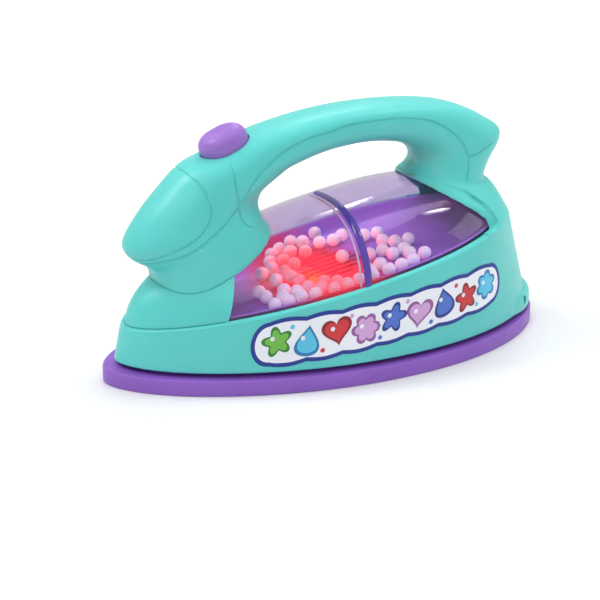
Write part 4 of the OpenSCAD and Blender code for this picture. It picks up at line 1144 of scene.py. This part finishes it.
# %% Button
shoulder_r, button_top, dish = 4.6, 6.8, 0.7
shoulder = [(shoulder_r * (1 - math.cos(a)), button_top - shoulder_r * (1 - math.sin(a)))
            for a in np.radians(np.arange(0, 91, 10))]
hollow_top = [(shoulder_r + k, button_top - dish * (k / 3.4) ** 1.5) for k in (0.8, 1.6, 2.4, 3.2, 3.5)]
button = button_loft("thumb_button", [(5.7, -8.4), (5.7, -7.8), (-1, -7.8), (-1, -flange_drop), (0, -flange_drop),
                                      (0, 0), (0, 1.2)] + shoulder + hollow_top)
finished(button, "button", "button", [purple_button], "button", angle=40)

# %% [markdown]
# ## Printed labels
# Each side carries a printed film on the band: a wavy navy border, a white field and a row of bright toy motifs.
# Every printed area is a very thin plate laid on the band's own curve, one over the other, as ink layers lie.

# %% Label surface
label_turns, label_mid_share = (54 / 360, 131 / 360), 0.5
path_turns = np.linspace(*label_turns, 240)
path_l = np.append(0, np.cumsum(np.linalg.norm(np.diff(band_spot(path_turns, label_mid_share)), axis=0)))
label_l, label_h, border = path_l[-1], 17.4, 1.6
scallop, scallop_l = 0.9, label_l / 8


def on_label(u, v, lift, side):
    """A place on the band, u along and v up in millimetres from the label's middle, lifted off the wall"""
    turn = np.interp(u + label_l / 2, path_l, path_turns)
    share = label_mid_share + v / np.linalg.norm(band_spot(turn, 1) - band_spot(turn, 0), axis=0)
    spot = band_spot(turn, share)
    ahead, up = band_spot(turn + 1e-4, share) - spot, band_spot(turn, share + 1e-3) - spot
    out = np.cross(ahead, up, axis=0)
    x, y, z = spot + lift * out / np.linalg.norm(out, axis=0)
    return x, -side * y, z


def field(name, inset, low, high, side):
    """A long plate with scalloped edges and round ends"""
    half, height = label_l / 2 - inset, label_h / 2 - inset

    def form(across, along):
        k = step_of(across, 4) % 4
        u = -half * np.cos(np.pi * along)
        ends = np.sqrt(np.clip(1 - (np.clip(np.abs(u) - half + height, 0, None) / height) ** 2, 1e-4, 1))
        v = (height + scallop * np.abs(np.cos(np.pi * u / scallop_l))) * ends
        return on_label(u, np.where((k == 0) | (k == 3), -v, v), np.where(k < 2, low, high), side)
    return laid_grid(name, 4, 240, form)


print("label in mm:", round(label_l, 1), "by", label_h)

# %% Label motifs
def star(swing):
    """A rounded five-pointed star"""
    reach = 0.58 + 0.42 * ((1 + np.cos(5 * swing)) / 2) ** 0.8
    return -reach * np.sin(swing), reach * np.cos(swing)


def flower(swing):
    """Six round petals"""
    reach = 0.66 + 0.34 * np.abs(np.cos(3 * swing)) ** 0.7
    return reach * np.cos(swing), reach * np.sin(swing)


def heart(swing):
    """A heart"""
    return (np.sin(swing) ** 3, (13 * np.cos(swing) - 5 * np.cos(2 * swing) - 2 * np.cos(3 * swing)
                                 - np.cos(4 * swing)) / 16 + 0.1)


def drop(swing):
    """A water drop, point up"""
    return 1.15 * np.sin(swing) * np.sin(swing / 2) ** 1.5, np.cos(swing)


def disc(swing):
    """A round dot"""
    return np.cos(swing), np.sin(swing)


def motif(outline, spot, size, tilt, low, high, side, rings=5):
    """A thin plate of the given outline, laid on the band"""
    levels = [(size, low)] + [(size * (1 - 0.97 * k / rings), high) for k in range(rings + 1)]
    c, s = math.cos(tilt), math.sin(tilt)

    def ring(turn, reach, lift):
        x, y = outline(2 * np.pi * turn)
        return on_label(spot[0] + reach * (c * x - s * y), spot[1] + reach * (s * x + c * y), lift, side)
    return ringed("motif", 90, levels, ring)


print("motif outlines:", [outline.__name__ for outline in (star, flower, heart, drop, disc)])

# %% Printed labels
def ink(name, colour):
    """A printed film of one colour with its darker and lighter drift, and painted shade in its creases"""
    return plastic(name, colour, [0.9 * c for c in colour], colour, [0.8 * c for c in colour],
                   gloss=(0.42, 0.52), grain=(2200, 0.05))


ink_colours = {
    "navy": (0.008, 0.03, 0.26), "white": (0.82, 0.84, 0.9), "green": (0.16, 0.5, 0.06),
    "dark_green": (0.03, 0.2, 0.03), "red": (0.62, 0.03, 0.04), "dark_red": (0.25, 0.01, 0.02),
    "lilac": (0.62, 0.36, 0.66), "dark_lilac": (0.28, 0.1, 0.32), "blue": (0.07, 0.16, 0.58),
    "dark_blue": (0.02, 0.04, 0.24), "sky": (0.1, 0.55, 0.78), "dark_sky": (0.02, 0.2, 0.45)}
inks = [ink(name + "_ink", colour) for name, colour in ink_colours.items()]
green, red, lilac, blue, sky = 2, 4, 6, 8, 10
motif_row = [(star, green, 0.2), (drop, sky, -0.15), (heart, red, 0.12), (flower, lilac, 0), (star, blue, -0.25),
             (heart, lilac, -0.1), (drop, blue, 0.2), (star, red, 0.15), (flower, sky, 0.3)]
motif_r, motif_step = 6.1, (label_l - 20) / (len(motif_row) - 1)


def printed_label(name, side):
    """All ink layers of one label, from the border up to the small shines"""
    layers = [(field("border", 0, 0.04, 0.14, side), 0), (field("field", border, 0.1, 0.2, side), 1)]
    for k, (outline, colour, tilt) in enumerate(motif_row):
        u, v = (k - (len(motif_row) - 1) / 2) * motif_step, 0.7 * (-1) ** k
        shine = (u - 0.3 * motif_r, v + 0.22 * motif_r)
        layers += [(motif(outline, (u, v), motif_r, tilt, 0.18, 0.26, side), colour + 1),
                   (motif(outline, (u, v), 0.78 * motif_r, tilt, 0.24, 0.32, side), colour),
                   (motif(disc, shine, 0.14 * motif_r, 0, 0.3, 0.37, side), 1)]
        if k:
            layers.append((motif(disc, (u - motif_step / 2, -5.6 * (-1) ** k), 0.9, 0, 0.18, 0.26, side), colour))
    shades = np.concatenate([np.full(len(piece.data.polygons), shade) for piece, shade in layers])
    label = joined([piece for piece, _ in layers])
    label.name = name
    finished(label, "iron", "label", inks, "label_left" if side < 0 else "label_right", angle=30)
    label.data.polygons.foreach_set("material_index", shades.astype(np.int32))


printed_label("near_label", -1)
printed_label("far_label", 1)

# %% [markdown]
# ## Inner parts
# Motor, fan, switch, cells and wires sit inside, and some of them show through the dome or the open battery
# door. Their solids have the right shape, so they only get finishes: brushed steel, green circuit board,
# printed cell sleeves and plastic wire skins.

# %% Inner finishes
steel, tree, shader = finish("brushed_steel")
stretch = add(tree, "ShaderNodeMapping", Vector=object_place(tree), Scale=(1, 1, 0.08)).outputs["Vector"]
brushed = add(tree, "ShaderNodeTexNoise", Vector=stretch, Scale=900, Detail=3).outputs["Fac"]
feed(tree, shader, Base_Color=mixed(tree, brushed, (0.5, 0.5, 0.52, 1), (0.72, 0.72, 0.74, 1)), Metallic=1,
     Roughness=spread_values(tree, brushed, 0.3, 0.7, 0.22, 0.42))

green_board = plastic("green_board", (0.03, 0.15, 0.07), (0.02, 0.11, 0.05), (0.1, 0.28, 0.15), (0.01, 0.05, 0.02))
cell_green = plastic("cell_green", (0.05, 0.3, 0.09), (0.04, 0.26, 0.08), (0.2, 0.5, 0.25), (0.02, 0.1, 0.03),
                     gloss=(0.2, 0.3))
red_wire = plastic("red_wire", (0.5, 0.02, 0.02), (0.42, 0.015, 0.015), (0.7, 0.1, 0.1), (0.2, 0.01, 0.01))
yellow_wire = plastic("yellow_wire", (0.7, 0.42, 0.03), (0.62, 0.36, 0.02), (0.85, 0.6, 0.15), (0.3, 0.16, 0.01))
inner_finishes = {
    steel: ("sole_screws", "housing_screws", "motor_can", "motor_shaft", "contact_plates",
            "contact_springs", "door_screw"),
    green_board: ("switch_plate", "led_board"),
    black_plastic: ("switch_body", "motor_mount", "battery_box", "lead_motor"),
    white_plastic: ("switch_plunger", "fan"),
    cell_green: ("cell_left", "cell_right"),
    red_wire: ("lead_supply",),
    yellow_wire: ("lead_switched", "lead_lamp"),
    purple_sole: ("battery_door",),
}
for material, names in inner_finishes.items():
    for name in names:
        dress(nodes[name], material)
print("inner parts finished:", sum(map(len, inner_finishes.values())))

# %% [markdown]
# ## Button spring
# Under the button stands a steel spring, the one piece that changes its length in use. It could stay the plain
# tube of the solid, but a coil of wire along a bevelled curve is what such a spring is.

# %% Button spring
coil_r, coil_wire, coil_turns, plate_top, flange_under, travel = 6.5, 0.4, 5, -16.6, -7.8, 3
swings = np.linspace(0, 2 * np.pi * coil_turns, 32 * coil_turns + 1)
rises = np.linspace(plate_top + 0.1 + coil_wire, flange_under - 0.1 - coil_wire, len(swings))
coil = wire_tool([Vector(on_button_axis(coil_r * math.cos(a), coil_r * math.sin(a), z)) * MM
                  for a, z in zip(swings, rises)], coil_wire)
coil.name = "button_coil"
finished(coil, "iron", "steel", [steel], "button_spring", angle=60)
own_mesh(coil)
